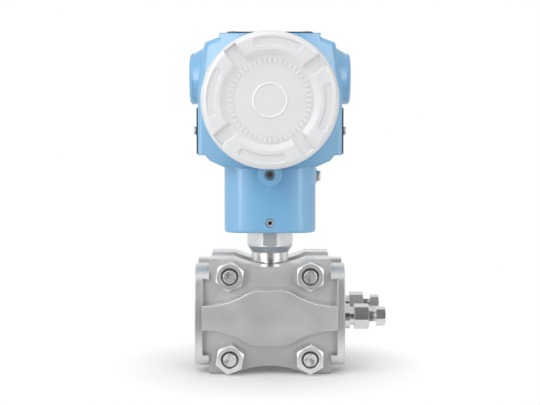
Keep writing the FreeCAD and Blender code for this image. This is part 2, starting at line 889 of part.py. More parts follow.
# how far a nut is turned: a corner points straight up on the right, not on the left
LEFT_TURN = 20
RIGHT_TURN = 90
for word, across, up, turned in (("upper_left", -1, 1, LEFT_TURN),
                                 ("upper_right", 1, 1, RIGHT_TURN),
                                 ("lower_left", -1, -1, LEFT_TURN),
                                 ("lower_right", 1, -1, RIGHT_TURN)):
    bolt_x = across * dim.bolt_spacing_across / 2
    bolt_z = port_height + up * dim.bolt_spacing_up / 2
    make_nut(f"{word}_nut", bolt_x, bolt_z, turned)
    make_bolt(f"{word}_bolt", bolt_x, bolt_z, turned)


# Vents. Own frame: Z along the vent's axis, zero at the flange's end face.

stem_radius = dim.vent_bore_radius - dim.turning_clearance
ball_centre = root(dim.vent_ball_radius * dim.vent_ball_radius
                   - dim.vent_seat_radius * dim.vent_seat_radius)
seat_level = -dim.vent_thread_length + dim.vent_seat_depth
ball_level = seat_level + ball_centre + dim.vent_stem_tip_gap
stem_tip = ball_level + dim.vent_ball_radius + dim.vent_stem_tip_gap


def make_vent(word, side):
    y = side * port_out
    plug = new_body(f"{word}_vent_plug")
    outline = draw(plug, "TurnedOutline", "XZ_Plane",
                   [(dim.vent_neck_radius - dim.turning_clearance, -dim.vent_thread_length),
                    (dim.vent_neck_radius - dim.turning_clearance, 0),
                    (dim.vent_collar_radius, 0), (dim.vent_collar_radius, dim.vent_collar_end),
                    (dim.vent_neck_radius, dim.vent_collar_end),
                    (dim.vent_neck_radius, dim.vent_hex_start),
                    (dim.vent_neck_radius, dim.vent_hex_end), (0, dim.vent_hex_end),
                    (0, -dim.vent_thread_length)])
    turn(plug, "Turned", outline)
    hexagon = draw(plug, "HexOutline", "XY_Plane",
                   hexagon_steps(dim.vent_across_flats, -dim.vent_hex_turn),
                   (0, 0, dim.vent_hex_start))
    pad(plug, "Hex", hexagon, dim.vent_hex_end - dim.vent_hex_start)
    doc.recompute()
    chamfer_hexagon(plug, "Corners", dim.vent_across_flats, dim.vent_hex_end)
    bore = draw(plug, "BoreOutline", "XZ_Plane",
                [(dim.vent_seat_radius, -dim.vent_thread_length),
                 (dim.vent_seat_radius, seat_level), (dim.vent_bore_radius, seat_level),
                 (dim.vent_bore_radius, dim.vent_hex_end), (0, dim.vent_hex_end),
                 (0, -dim.vent_thread_length)])
    turn(plug, "Bore", bore, cutting=True)
    drill(plug, "Outlet", dim.vent_outlet_radius, dim.vent_across_flats,
          (0, 0, (dim.vent_hex_start + dim.vent_hex_end) / 2), "+X")
    keep(place(plug, end_face, y, port_height, DIRECTIONS["+X"]))

    ball = doc.addObject("Part::Sphere", f"{word}_vent_ball")
    ball.Label = f"{word}_vent_ball"
    tie(ball, "Radius", dim.vent_ball_radius)
    keep(place(ball, end_face + ball_level, y, port_height, DIRECTIONS["+X"]))

    stem = new_body(f"{word}_vent_stem")
    rod = draw(stem, "RodOutline", "XZ_Plane",
               [(stem_radius - dim.vent_stem_chamfer, stem_tip),
                (stem_radius, stem_tip + dim.vent_stem_chamfer),
                (stem_radius, dim.vent_cap_start), (0, dim.vent_cap_start), (0, stem_tip)])
    turn(stem, "Rod", rod)
    cap = draw(stem, "CapOutline", "XY_Plane",
               hexagon_steps(dim.vent_cap_across_flats, -dim.vent_hex_turn),
               (0, 0, dim.vent_cap_start))
    pad(stem, "Cap", cap, dim.vent_cap_end - dim.vent_cap_start)
    doc.recompute()
    chamfer_hexagon(stem, "Corners", dim.vent_cap_across_flats, dim.vent_cap_end)
    keep(place(stem, end_face, y, port_height, DIRECTIONS["+X"]))


for word, side in (("front", -1), ("rear", 1)):
    make_vent(word, side)


# Head casting

def body_outline_steps():
    """Front outline of the casting between its two barrels."""
    right = [(skirt_top, skirt_face),
             (lower_corner, dim.lower_corner_half_width),
             (side_foot, dim.shoulder_half_width),
             (side_foot, dim.body_half_width),
             (head_axis + dim.side_top_rise, dim.body_half_width),
             (head_top - dim.upper_drop, dim.upper_half_width),
             (head_top - dim.shoulder_drop, dim.shoulder_half_width),
             (head_top - dim.top_pad_height, dim.top_pad_half_width),
             (head_top, dim.top_pad_half_width)]
    steps = [(across, up) for up, across in right]
    steps += [(-across, up) for up, across in reversed(right)]
    return steps


def rounded_square_steps(half, corner):
    """A square with four quarter-round corners."""
    flat = half - corner
    return [(half, flat), (flat, half, corner), (-flat, half), (-half, flat, corner),
            (-half, -flat), (-flat, -half, corner), (flat, -half), (half, -flat, corner)]


def make_housing():
    body = new_body("housing")
    middle = draw(body, "BodyOutline", "XZ_Plane", body_outline_steps())
    pad(body, "MiddleBody", middle, dim.body_depth, symmetric=True)
    pad_foot = head_top - dim.top_pad_height
    round_edges(body, "BodyRounding", dim.body_round,
                lambda edge: abs(abs(middle_of(edge).y) - SIZES["body_depth"] / 2) < CLOSE
                and side_foot.value + CLOSE < middle_of(edge).z < pad_foot.value)
    skirt = draw(body, "SkirtOutline", "XY_Plane",
                 rounded_square_steps(skirt_face, dim.skirt_corner), (0, 0, skirt_bottom))
    pad(body, "Skirt", skirt, side_foot - skirt_bottom)
    round_edges(body, "SkirtRounding", dim.skirt_round,
                lambda edge: abs(middle_of(edge).z - skirt_bottom.value) < CLOSE)
    barrels = draw_circles(body, "BarrelOutline", "XZ_Plane", [(0, head_axis, dim.barrel_radius)])
    pad(body, "Barrels", barrels, dim.barrel_length, symmetric=True)
    # round bosses for the cable entries, level below and rising to the shoulders above, each
    # with a straight land at its end
    root_centre = entry_height + dim.entry_boss_root_radius - dim.entry_boss_radius
    for name, side in (("Left", -1), ("Right", 1)):
        foot = draw_circles(body, name + "BossRoot", "YZ_Plane",
                            [(-dim.entry_offset, root_centre, dim.entry_boss_root_radius)],
                            (0, 0, side * dim.entry_boss_root_half_width))
        end = draw_circles(body, name + "BossEnd", "YZ_Plane",
                           [(-dim.entry_offset, entry_height, dim.entry_boss_radius)],
                           (0, 0, side * (dim.entry_boss_half_width - dim.entry_boss_land)))
        loft(body, name + "EntryBoss", foot, end)
        pad(body, name + "BossLand", end, dim.entry_boss_land, turned_round=side < 0)
    bevel_edges(body, "EntryBossBevel", dim.entry_boss_chamfer,
                lambda edge: abs(abs(middle_of(edge).x) - SIZES["entry_boss_half_width"]) < CLOSE)
    locks = draw_circles(body, "LockBossOutline", "XZ_Plane",
                         [(0, lock_height, dim.lock_boss_radius)])
    pad(body, "LockBosses", locks, dim.lock_boss_length, symmetric=True)
    doc.recompute()

    # both compartments, each with a wider zone for the cover's thread
    mouth = barrel_face + overcut
    thread_end = barrel_face - dim.thread_zone
    for name, way, deep in (("Front", -1, dim.wall_front), ("Rear", 1, wall_back)):
        hollow = draw(body, name + "HollowOutline", "YZ_Plane",
                      [(way * mouth, 0), (way * mouth, dim.thread_radius),
                       (way * thread_end, dim.thread_radius),
                       (way * thread_end, dim.compartment_radius),
                       (deep, dim.compartment_radius), (deep, 0)],
                      (0, head_axis, 0))
        turn(body, name + "Compartment", hollow, axis="H_Axis", cutting=True)
    drill(body, "WallBore", dim.feedthrough_radius + dim.turning_clearance,
          dim.wall_thickness + 2 * overcut, (0, dim.wall_front - overcut, head_axis), "+Y")

    # the neck's bore, its counterbore and the way up to the electronics
    drill(body, "NeckMouth", dim.bar_radius + dim.free_clearance,
          dim.bar_shoulder + dim.free_clearance, (0, 0, skirt_bottom), "+Z")
    bore_top = header_top + overcut
    drill(body, "NeckBore", spigot_bore_radius, bore_top - skirt_bottom,
          (0, 0, skirt_bottom), "+Z")
    passage_foot = spigot_top + overcut
    passage_top = head_axis - dim.compartment_radius + dim.passage_overlap
    passage_front = wall_back + overcut
    passage_back = wall_back + dim.passage_depth
    passage = draw(body, "CablePassageOutline", "YZ_Plane",
                   [(passage_back, passage_foot), (passage_back, passage_top),
                    (passage_front, passage_top), (passage_front, bore_top),
                    (0, bore_top), (0, passage_foot)])
    pocket(body, "CablePassage", passage, dim.header_radius, symmetric=True)

    # cable entries into the front compartment
    for name, way, side in (("Left", "+X", -1), ("Right", "-X", 1)):
        entry_mouth = (side * dim.entry_boss_half_width, -dim.entry_offset, entry_height)
        drill(body, name + "EntryThread", dim.entry_radius, dim.entry_thread_length,
              entry_mouth, way)
        drill(body, name + "EntryBore", dim.entry_inner_radius,
              dim.entry_boss_half_width - dim.compartment_radius / 2, entry_mouth, way)

    # screw holes
    for name, way, side in (("Front", "+Y", -1), ("Rear", "-Y", 1)):
        face = side * dim.lock_boss_length / 2
        drill(body, name + "LockRecess", dim.lock_recess_radius, dim.lock_recess_depth,
              (0, face, lock_height), way)
        drill(body, name + "LockHole", dim.lock_screw_radius + dim.turning_clearance,
              dim.lock_recess_depth + dim.lock_screw_length + dim.free_clearance,
              (0, face, lock_height), way)
    drill(body, "SetRecess", dim.set_recess_radius, dim.set_recess_depth,
          (0, -skirt_face, set_height), "+Y")
    drill(body, "SetHole", dim.set_screw_radius + dim.turning_clearance, skirt_face,
          (0, -skirt_face, set_height), "+Y")
    drill(body, "GroundHole", dim.ground_screw_radius + dim.turning_clearance,
          dim.ground_screw_length, (skirt_face, 0, ground_height), "-X")
    for word, side, way in (("Left", -1, "+X"), ("Right", 1, "-X")):
        for end, along in (("Front", -1), ("Rear", 1)):
            drill(body, f"{word}Plate{end}Hole",
                  dim.plate_screw_radius + dim.turning_clearance, dim.plate_screw_length,
                  (side * dim.body_half_width, along * side_screw_reach, side_plate_middle), way)
    for word, across in (("Left", -1), ("Right", 1)):
        drill(body, f"TopPlate{word}Hole", dim.plate_screw_radius + dim.turning_clearance,
              dim.plate_screw_length, (across * top_screw_reach, 0, head_top), "-Z")
    fixing_hole = dim.inner_screw_radius + dim.turning_clearance
    for number, way in enumerate((-1, 1)):
        drill(body, f"TerminalHole{number}", fixing_hole, dim.inner_screw_bite,
              (way * dim.terminal_fixing_offset, dim.wall_front, head_axis), "+Y")
        drill(body, f"CarrierHole{number}", fixing_hole, dim.inner_screw_bite,
              (0, wall_back, head_axis + way * dim.carrier_fixing_offset), "-Y")
    return keep(body)


# the side plates reach from the foot of the sides up to the cable entries' bosses
plate_face = dim.body_half_width + dim.plate_thickness
side_plate_foot = side_foot + dim.side_plate_margin
side_plate_head = entry_height - dim.entry_boss_radius - dim.side_plate_gap
side_plate_middle = (side_plate_foot + side_plate_head) / 2
side_screw_reach = dim.side_plate_depth / 2 - dim.plate_screw_inset
top_screw_reach = dim.top_plate_width / 2 - dim.plate_screw_inset
make_housing()


# Covers. Own frame: Z outwards, zero at the back of the rim.

COVER_SLOTS = 4
# the radius at a rim pocket's end, as a share of the pocket's width
POCKET_END = 0.55


def make_cover(label, side):
    body = new_body(label)
    top = dim.cover_height
    floor = top - dim.cover_recess_depth
    bore = dim.thread_radius - dim.turning_clearance
    hollow = bore - dim.spigot_wall
    seal_near = -dim.cover_seal_offset + dim.seal_squeeze
    seal_far = -dim.cover_seal_offset - dim.cover_seal_thickness - dim.seal_squeeze
    seal_floor = dim.cover_seal_inner_radius - dim.turning_clearance
    outline = draw(body, "TurnedOutline", "XZ_Plane",
                   [(hollow, floor - dim.cover_wall), (hollow, -dim.spigot_reach),
                    (bore - dim.spigot_chamfer, -dim.spigot_reach),
                    (bore, dim.spigot_chamfer - dim.spigot_reach),
                    (bore, seal_far), (seal_floor, seal_far), (seal_floor, seal_near),
                    (bore, seal_near), (bore, 0), (dim.cover_radius, 0),
                    (dim.cover_radius, top - dim.cover_round),
                    (dim.cover_radius - dim.cover_round, top, dim.cover_round),
                    (dim.cover_recess_radius + dim.cover_recess_slope, top),
                    (dim.cover_recess_radius, floor), (0, floor), (0, floor - dim.cover_wall)])
    turn(body, "Turned", outline)
    doc.recompute()
    slot = draw(body, "ToolSlotOutline", "XY_Plane",
                box_steps(dim.cover_recess_radius / 2, -dim.tool_slot_width / 2,
                          dim.tool_slot_reach, dim.tool_slot_width / 2), (0, 0, floor))
    slots = pocket(body, "ToolSlot", slot, dim.cover_recess_depth + overcut, turned_round=True,
                   draft=dim.tool_slot_draft)
    repeat_round(body, "ToolSlots", [slots], COVER_SLOTS)
    doc.recompute()
    between = 180 / COVER_SLOTS
    near = between - dim.pocket_half_angle
    far = between + dim.pocket_half_angle
    inner = dim.pocket_inner_radius
    outer = dim.pocket_outer_radius
    cap = (outer - inner) * POCKET_END
    crescent = draw(body, "RimPocketOutline", "XY_Plane",
                    [(outer * cosine(far), outer * sine(far), outer),
                     (inner * cosine(far), inner * sine(far), cap),
                     (inner * cosine(near), inner * sine(near), -inner),
                     (outer * cosine(near), outer * sine(near), cap)],
                    (0, 0, top - dim.pocket_depth))
    pockets = pocket(body, "RimPocket", crescent, dim.pocket_depth + overcut, turned_round=True,
                     draft=dim.pocket_draft)
    repeat_round(body, "RimPockets", [pockets], COVER_SLOTS)
    turned = Rotation(Vector(0, 0, 1), SIZES["cover_turn"])
    facing = DIRECTIONS["-Y"] if side < 0 else Rotation(Vector(0, 0, 1), 180) * DIRECTIONS["-Y"]
    return keep(place(body, 0, side * cover_back, head_axis, facing * turned))


for word, side in (("front", -1), ("rear", 1)):
    make_cover(f"{word}_cover", side)
    ring_place = side * (cover_back - dim.cover_seal_offset - dim.cover_seal_thickness / 2)
    make_ring(f"{word}_cover_o_ring", dim.cover_seal_inner_radius, dim.cover_seal_thickness,
              0, ring_place, head_axis, "+Y")


# Screws. The shares are of the shank's radius, the head's height or the head's radius.

TIP_CHAMFER = 0.25
SOCKET_DEPTH = 1.2
SOCKET_TURN = 30
CROWN = 0.3
SLOT_DEPTH = 0.55
SLOT_REACH = 0.7


def make_screw(label, radius, length, head_radius, head_height, socket=None, slot=None):
    """A screw in its own frame: shank down from zero, head up from zero. A screw with no
    head is a set screw, whose drive is sunk in its own end."""
    body = new_body(label)
    tip = radius * TIP_CHAMFER
    if head_height is None:
        top = as_size(0)
        outline = [(radius - tip, -length), (radius, tip - length), (radius, 0), (0, 0),
                   (0, -length)]
    else:
        top = head_height
        crown = head_radius * CROWN
        outline = [(radius - tip, -length), (radius, tip - length), (radius, 0),
                   (head_radius, 0), (head_radius, top - crown), (head_radius - crown, top, crown),
                   (0, top), (0, -length)]
    turn(body, "Turned", draw(body, "TurnedOutline", "XZ_Plane", outline))
    doc.recompute()
    deep = SOCKET_DEPTH * radius if head_height is None else SLOT_DEPTH * head_height
    if socket is not None:
        drive = draw(body, "SocketOutline", "XY_Plane", hexagon_steps(socket, SOCKET_TURN),
                     (0, 0, top))
        pocket(body, "Socket", drive, deep)
    if slot is not None:
        reach = SLOT_REACH * head_radius
        for name, wide, tall in (("SlotAcross", reach, slot / 2), ("SlotUp", slot / 2, reach)):
            drive = draw(body, name + "Outline", "XY_Plane",
                         box_steps(-wide, -tall, wide, tall), (0, 0, top))
            pocket(body, name, drive, deep)
    return body


for word, side in (("front", "-Y"), ("rear", "+Y")):
    lock = make_screw(f"{word}_lock_screw", dim.lock_screw_radius, dim.lock_screw_length,
                      None, None, socket=dim.lock_screw_radius)
    depth = dim.lock_boss_length / 2 - dim.lock_recess_depth
    keep(place(lock, 0, -depth if word == "front" else depth, lock_height, DIRECTIONS[side]))

set_screw = make_screw("neck_set_screw", dim.set_screw_radius, set_screw_length, None, None,
                       socket=dim.set_screw_radius)
keep(place(set_screw, 0, -skirt_face + dim.set_recess_depth, set_height, DIRECTIONS["-Y"]))

ground_screw = make_screw("ground_screw", dim.ground_screw_radius, dim.ground_screw_length,
                          dim.ground_head_radius, dim.ground_head_height,
                          slot=dim.ground_slot_width)
keep(place(ground_screw, skirt_face + dim.ground_washer_thickness, 0, ground_height,
           DIRECTIONS["+X"]))
washer = new_body("ground_washer")
pad(washer, "Ring", draw_circles(washer, "RingOutline", "XY_Plane",
                                 [(0, 0, dim.ground_washer_radius),
                                  (0, 0, dim.ground_screw_radius + dim.seal_squeeze)]),
    dim.ground_washer_thickness)
keep(place(washer, skirt_face, 0, ground_height, DIRECTIONS["+X"]))


# Plates on the head

def make_plate(label, plane, steps, holes, shift):
    """A thin plate with rounded corners and a hole for each screw."""
    body = new_body(label)
    pad(body, "Sheet", draw(body, "SheetOutline", plane, steps, shift), dim.plate_thickness)
    axis = 0 if plane == "YZ_Plane" else 2
    round_edges(body, "Corners", dim.plate_corner, lambda edge: runs_along(edge, axis))
    circles = [(x, y, dim.plate_screw_radius + dim.turning_clearance) for x, y in holes]
    punched = draw_circles(body, "HoleOutline", plane, circles, shift)
    pocket(body, "Holes", punched, dim.plate_thickness, turned_round=True)
    return keep(body)


def plate_screw(label, x, y, z, direction):
    screw = make_screw(label, dim.plate_screw_radius, dim.plate_screw_length,
                       dim.plate_screw_head_radius, dim.plate_screw_head_height,
                       slot=dim.plate_slot_width)
    return place(screw, x, y, z, DIRECTIONS[direction])


for word, side, direction in (("left", -1, "-X"), ("right", 1, "+X")):
    back = dim.body_half_width if side > 0 else -plate_face
    make_plate(f"{word}_nameplate", "YZ_Plane",
               box_steps(-dim.side_plate_depth / 2, side_plate_foot,
                         dim.side_plate_depth / 2, side_plate_head),
               [(-side_screw_reach, side_plate_middle), (side_screw_reach, side_plate_middle)],
               (0, 0, back))
    keep(group(f"{word}_nameplate_screws",
               [plate_screw(f"{word}_screw_{number}", side * plate_face,
                            along * side_screw_reach, side_plate_middle, direction)
                for number, along in enumerate((-1, 1))]))

make_plate("top_plate", "XY_Plane",
           box_steps(-dim.top_plate_width / 2, -dim.top_plate_depth / 2,
                     dim.top_plate_width / 2, dim.top_plate_depth / 2),
           [(-top_screw_reach, 0), (top_screw_reach, 0)], (0, 0, head_top))
keep(group("top_plate_screws",
           [plate_screw(f"top_screw_{number}", across * top_screw_reach, 0,
                        head_top + dim.plate_thickness, "+Z")
            for number, across in enumerate((-1, 1))]))


# Plug in the unused cable entry

plug = new_body("conduit_plug")
pad(plug, "Slug", draw_circles(plug, "SlugOutline", "XY_Plane",
                               [(0, 0, dim.entry_radius - dim.turning_clearance)]),
    dim.plug_depth, turned_round=True)
doc.recompute()
pocket(plug, "Socket", draw(plug, "SocketOutline", "XY_Plane", hexagon_steps(dim.plug_socket)),
       dim.plug_socket_depth)
keep(place(plug, -dim.entry_boss_half_width, -dim.entry_offset, entry_height,
           DIRECTIONS["-X"]))


# Field terminals. Own frame: Z outwards, zero at the wall between the compartments.

puck_radius = dim.compartment_radius - dim.puck_clearance
terminal_top = dim.terminal_base_thickness + dim.terminal_rise
terminal_floor = terminal_top - dim.terminal_slot_depth
TERMINALS = 4
terminal_xs = [(number - (TERMINALS - 1) / 2) * dim.terminal_pitch
               for number in range(TERMINALS)]

block = new_body("terminal_block")
pad(block, "Base", draw_circles(block, "BaseOutline", "XY_Plane", [(0, 0, puck_radius)]),
    dim.terminal_base_thickness)
half_rise = TERMINALS / 2 * dim.terminal_pitch + dim.terminal_end_wall
pad(block, "Rise", draw(block, "RiseOutline", "XY_Plane",
                        box_steps(-half_rise, -dim.terminal_rise_height / 2, half_rise,
                                  dim.terminal_rise_height / 2)), terminal_top)
doc.recompute()
for number, x in enumerate(terminal_xs):
    half = dim.terminal_slot_width / 2
    channel = draw(block, f"Channel{number}Outline", "XY_Plane",
                   box_steps(x - half, -dim.terminal_rise_height / 2 - overcut, x + half,
                             dim.terminal_rise_height / 2 - dim.terminal_back_wall),
                   (0, 0, terminal_floor))
    pocket(block, f"Channel{number}", channel, dim.terminal_slot_depth + overcut,
           turned_round=True)
    drill(block, f"ScrewHole{number}", dim.terminal_screw_radius + dim.turning_clearance,
          terminal_floor - dim.terminal_skin, (x, 0, dim.terminal_skin), "+Z")
for number, across in enumerate((-1, 1)):
    drill(block, f"FixingHole{number}", dim.inner_screw_radius + dim.turning_clearance,
          dim.terminal_base_thickness, (across * dim.terminal_fixing_offset, 0, 0), "+Z")
keep(place(block, 0, dim.wall_front, head_axis, DIRECTIONS["-Y"]))

clamps = []
screws = []
for number, x in enumerate(terminal_xs):
    clamp = new_body(f"clamp_{number}")
    half = dim.terminal_slot_width / 2 - dim.puck_clearance
    pad(clamp, "Sheet", draw(clamp, "SheetOutline", "XY_Plane", box_steps(-half, -half, half, half)),
        dim.terminal_clamp_thickness)
    drill(clamp, "Hole", dim.terminal_screw_radius + dim.seal_squeeze,
          dim.terminal_clamp_thickness, (0, 0, 0), "+Z")
    clamps.append(place(clamp, x, dim.wall_front - terminal_floor, head_axis,
                        DIRECTIONS["-Y"]))
    screw = make_screw(f"terminal_screw_{number}", dim.terminal_screw_radius,
                       dim.terminal_screw_length, dim.terminal_head_radius,
                       dim.terminal_head_height, slot=dim.inner_slot_width)
    screws.append(place(screw, x, dim.wall_front - terminal_floor - dim.terminal_clamp_thickness,
                        head_axis, DIRECTIONS["-Y"]))
keep(group("terminal_clamps", clamps))
keep(group("terminal_screws", screws))


def fixing_screws(label, places, direction, grip):
    """Screws that hold a puck to the wall behind it, one at each place."""
    pieces = []
    for number, spot in enumerate(places):
        screw = make_screw(f"{label}_{number}", dim.inner_screw_radius, grip,
                           dim.inner_screw_head_radius, dim.inner_screw_head_height,
                           slot=dim.inner_slot_width)
        pieces.append(place(screw, *spot, DIRECTIONS[direction]))
    return keep(group(label, pieces))


fixing_screws("terminal_block_screws",
              [(way * dim.terminal_fixing_offset, dim.wall_front - dim.terminal_base_thickness,
                head_axis) for way in (-1, 1)],
              "-Y", dim.terminal_base_thickness + dim.inner_screw_bite - dim.free_clearance)

feedthrough = new_body("feedthrough")
pad(feedthrough, "Slug", draw_circles(feedthrough, "SlugOutline", "XY_Plane",
                                      [(0, 0, dim.feedthrough_radius)]), dim.wall_thickness)
keep(place(feedthrough, 0, dim.wall_front, head_axis, DIRECTIONS["+Y"]))


# Electronics in the rear compartment. Own frame: Z outwards to +Y.

carrier = new_body("electronics_carrier")
pad(carrier, "Cup", draw_circles(carrier, "CupOutline", "XY_Plane", [(0, 0, puck_radius)]),
    dim.carrier_thickness)
doc.recompute()
drill(carrier, "Hollow", dim.board_radius - dim.carrier_wall, dim.carrier_thickness,
      (0, 0, dim.carrier_floor), "+Z")
for number, way in enumerate((-1, 1)):
    drill(carrier, f"FixingHole{number}", dim.inner_screw_radius + dim.turning_clearance,
          dim.carrier_thickness, (0, way * dim.carrier_fixing_offset, 0), "+Z")
keep(place(carrier, 0, wall_back, head_axis, DIRECTIONS["+Y"]))

CHIP_SIZES = ("across", "up", "width", "length", "height")
board = new_body("main_board")
pad(board, "Board", draw_circles(board, "BoardOutline", "XY_Plane", [(0, 0, dim.board_radius)]),
    dim.board_thickness)
for chip in ("processor", "converter", "connector", "filter"):
    across, up, width, length, height = (getattr(dim, f"{chip}_{size}") for size in CHIP_SIZES)
    footprint = draw(board, f"{chip}_outline", "XY_Plane",
                     box_steps(across - width / 2, up - length / 2,
                               across + width / 2, up + length / 2))
    pad(board, chip, footprint, dim.board_thickness + height)
keep(place(board, 0, wall_back + dim.carrier_thickness, head_axis, DIRECTIONS["+Y"]))
fixing_screws("carrier_screws",
              [(0, wall_back + dim.carrier_floor,
                head_axis + way * dim.carrier_fixing_offset) for way in (-1, 1)],
              "+Y", dim.carrier_floor + dim.inner_screw_bite - dim.free_clearance)


# Check and write

doc.recompute()
for thing in doc.Objects:
    if "Invalid" in thing.State or "Error" in thing.State:
        raise RuntimeError(f"{thing.Label} did not rebuild: {thing.State}")
for piece in subparts:
    if piece.Shape.isNull() or not piece.Shape.isValid() or not piece.Shape.Solids:
        raise RuntimeError(f"{piece.Label} has no valid shape")

os.makedirs("parts", exist_ok=True)
for piece in subparts:
    piece.Shape.exportStep(f"parts/{piece.Label}.step")
print(len(subparts), "sub-parts written")
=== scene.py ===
import json
import math

import bmesh
import bpy
from mathutils import Matrix, Vector


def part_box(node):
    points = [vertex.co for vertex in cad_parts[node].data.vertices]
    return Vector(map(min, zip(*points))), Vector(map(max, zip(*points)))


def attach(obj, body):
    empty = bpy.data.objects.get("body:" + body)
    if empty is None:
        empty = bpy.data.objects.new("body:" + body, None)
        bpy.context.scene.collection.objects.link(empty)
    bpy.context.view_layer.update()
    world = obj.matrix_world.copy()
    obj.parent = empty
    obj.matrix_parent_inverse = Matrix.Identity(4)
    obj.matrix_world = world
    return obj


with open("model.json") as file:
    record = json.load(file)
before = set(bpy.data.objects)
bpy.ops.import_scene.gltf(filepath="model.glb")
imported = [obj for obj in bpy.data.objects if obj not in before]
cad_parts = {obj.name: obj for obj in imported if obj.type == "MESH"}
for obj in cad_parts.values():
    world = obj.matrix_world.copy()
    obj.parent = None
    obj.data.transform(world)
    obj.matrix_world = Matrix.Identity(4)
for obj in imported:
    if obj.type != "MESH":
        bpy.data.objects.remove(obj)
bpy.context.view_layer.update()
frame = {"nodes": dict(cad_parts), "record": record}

MM = 0.001

# Camera, in the frame's own axes: it stands in front of the covers and looks slightly down.
CAMERA_DISTANCE = 873 * MM
CAMERA_HEIGHT = 178.2 * MM
CAMERA_TILT = math.radians(4.47)
CAMERA_LENS = 87.33
CAMERA_NEAREST = 10 * MM

# Studio: a strip light each side of the camera, a key light high on the left with a weaker fill
# on the right, one behind and one large light overhead. For the metal to mirror, a dark card
# stands behind the camera, with a runner on the floor before it.
# Each light: degrees round from the camera, negative to the left; distance and height in metres;
# width and length; watts; whether metal mirrors it.
LIGHTS = {
    "left_strip": (-33, 1.3, 0.62, 0.55, 1.3, 6.6, True),
    "right_strip": (38, 1.3, 0.62, 0.5, 1.3, 4.4, True),
    "key_light": (-62, 1.1, 0.95, 0.7, 0.7, 4.7, False),
    "back_light": (165, 1.2, 0.9, 0.8, 0.8, 4.0, False),
    "fill_light": (66, 1.2, 0.8, 0.6, 0.8, 0.8, False),
    "top_light": (0, 0.1, 1.5, 1.4, 1.4, 9.0, False),
}
ROOM_LIGHT = 0.22
# what metal and gloss mirror of the room, against its white
CEILING_TONE = 0.75
LEFT_WALL_TONE = 1.15
RIGHT_WALL_TONE = 0.85
# where the walls turn into the ceiling and the left wall into the right, as parts of a direction
CEILING_START = 0.05
CEILING_FULL = 0.6
WALLS_MEET = 0.6
# the card, the runner and the floor, in metres
CARD_DISTANCE = 1.7
CARD_HALF_WIDTH = 0.55
CARD_TOP = 1.4
CARD_TONE = 0.06
RUNNER_NEAR = 0.075
RUNNER_NEAR_HALF_WIDTH = 0.10
RUNNER_HEIGHT = 0.3 * MM
# the runner's tone at distances from the object, and the farthest distance that they reach
RUNNER_TONES = ((RUNNER_NEAR, 0.7), (0.15, 0.14), (0.28, 0.14), (0.36, 0.7), (0.5, 0.7),
                (0.58, CARD_TONE))
RUNNER_REACH = 0.8
FLOOR_HALF_WIDTH = 6.0
FLOOR_DROP = 0.05 * MM
FLOOR_TONE = 0.88
# the floor's faint clouds: how much darker they are, and how wide in millimetres
FLOOR_CLOUDING = 0.01
FLOOR_CLOUD_WIDTH = 900
# the floor is this far on its way to white under the object and all the way past the fade
FLOOR_WHITE_NEAR = 0.1
FLOOR_FADE_START = 0.05
FLOOR_FADE_LENGTH = 0.055

# rays for the eased edges and for the corners that gather shade
EDGE_SAMPLES = 4
SHELTER_SAMPLES = 6


class Value:
    """A node socket that takes part in sums. Each operator adds the Math node for it."""

    def __init__(self, tree, socket):
        self.tree = tree
        self.socket = socket

    def __add__(self, other):
        return self.tree.maths("ADD", self, other)

    def __sub__(self, other):
        return self.tree.maths("SUBTRACT", self, other)

    def __mul__(self, other):
        return self.tree.maths("MULTIPLY", self, other)

    def __truediv__(self, other):
        return self.tree.maths("DIVIDE", self, other)

    def __mod__(self, other):
        return self.tree.maths("MODULO", self, other)

    def __lt__(self, other):
        return self.tree.maths("LESS_THAN", self, other)

    def __gt__(self, other):
        return self.tree.maths("GREATER_THAN", self, other)

    def __radd__(self, other):
        return self.tree.maths("ADD", other, self)

    def __rsub__(self, other):
        return self.tree.maths("SUBTRACT", other, self)

    def __rmul__(self, other):
        return self.tree.maths("MULTIPLY", other, self)

    def __abs__(self):
        return self.tree.maths("ABSOLUTE", self)

    def between(self, start, end):
        """0 below start, 1 above end and a straight rise between them."""
        return self.tree.node("ShaderNodeMapRange", {"clamp": True},
                              {"Value": self, "From Min": start, "From Max": end})


def socket_of(sockets, key):
    """The socket with that place, identifier or name. Like-named ones differ by identifier."""
    if isinstance(key, int):
        return sockets[key]
    return next((s for s in sockets if s.identifier == key), None) or sockets[key]


class Tree:
    """A node tree that is written as Python: one method makes any node."""

    def __init__(self, tree):
        self.tree = tree

    def node(self, kind, settings=None, sockets=None, output=0):
        """Adds a node, makes its settings and then its sockets' values, and returns one output."""
        made = self.tree.nodes.new(kind)
        for word, setting in (settings or {}).items():
            if word == "stops":
                self.set_stops(made.color_ramp.elements, setting)
            else:
                setattr(made, word, setting)
        for key, value in (sockets or {}).items():
            if isinstance(value, Value):
                self.tree.links.new(value.socket, socket_of(made.inputs, key))
            else:
                socket_of(made.inputs, key).default_value = value
        return Value(self, socket_of(made.outputs, output))

    def set_stops(self, elements, stops):
        """Gives a colour ramp its places and colours."""
        while len(elements) < len(stops):
            elements.new(1.0)
        for element, (place, colour) in zip(elements, stops):
            element.position = place
            element.color = colour

    def maths(self, operation, *terms):
        """One step of a sum."""
        return self.node("ShaderNodeMath", {"operation": operation}, dict(enumerate(terms)))


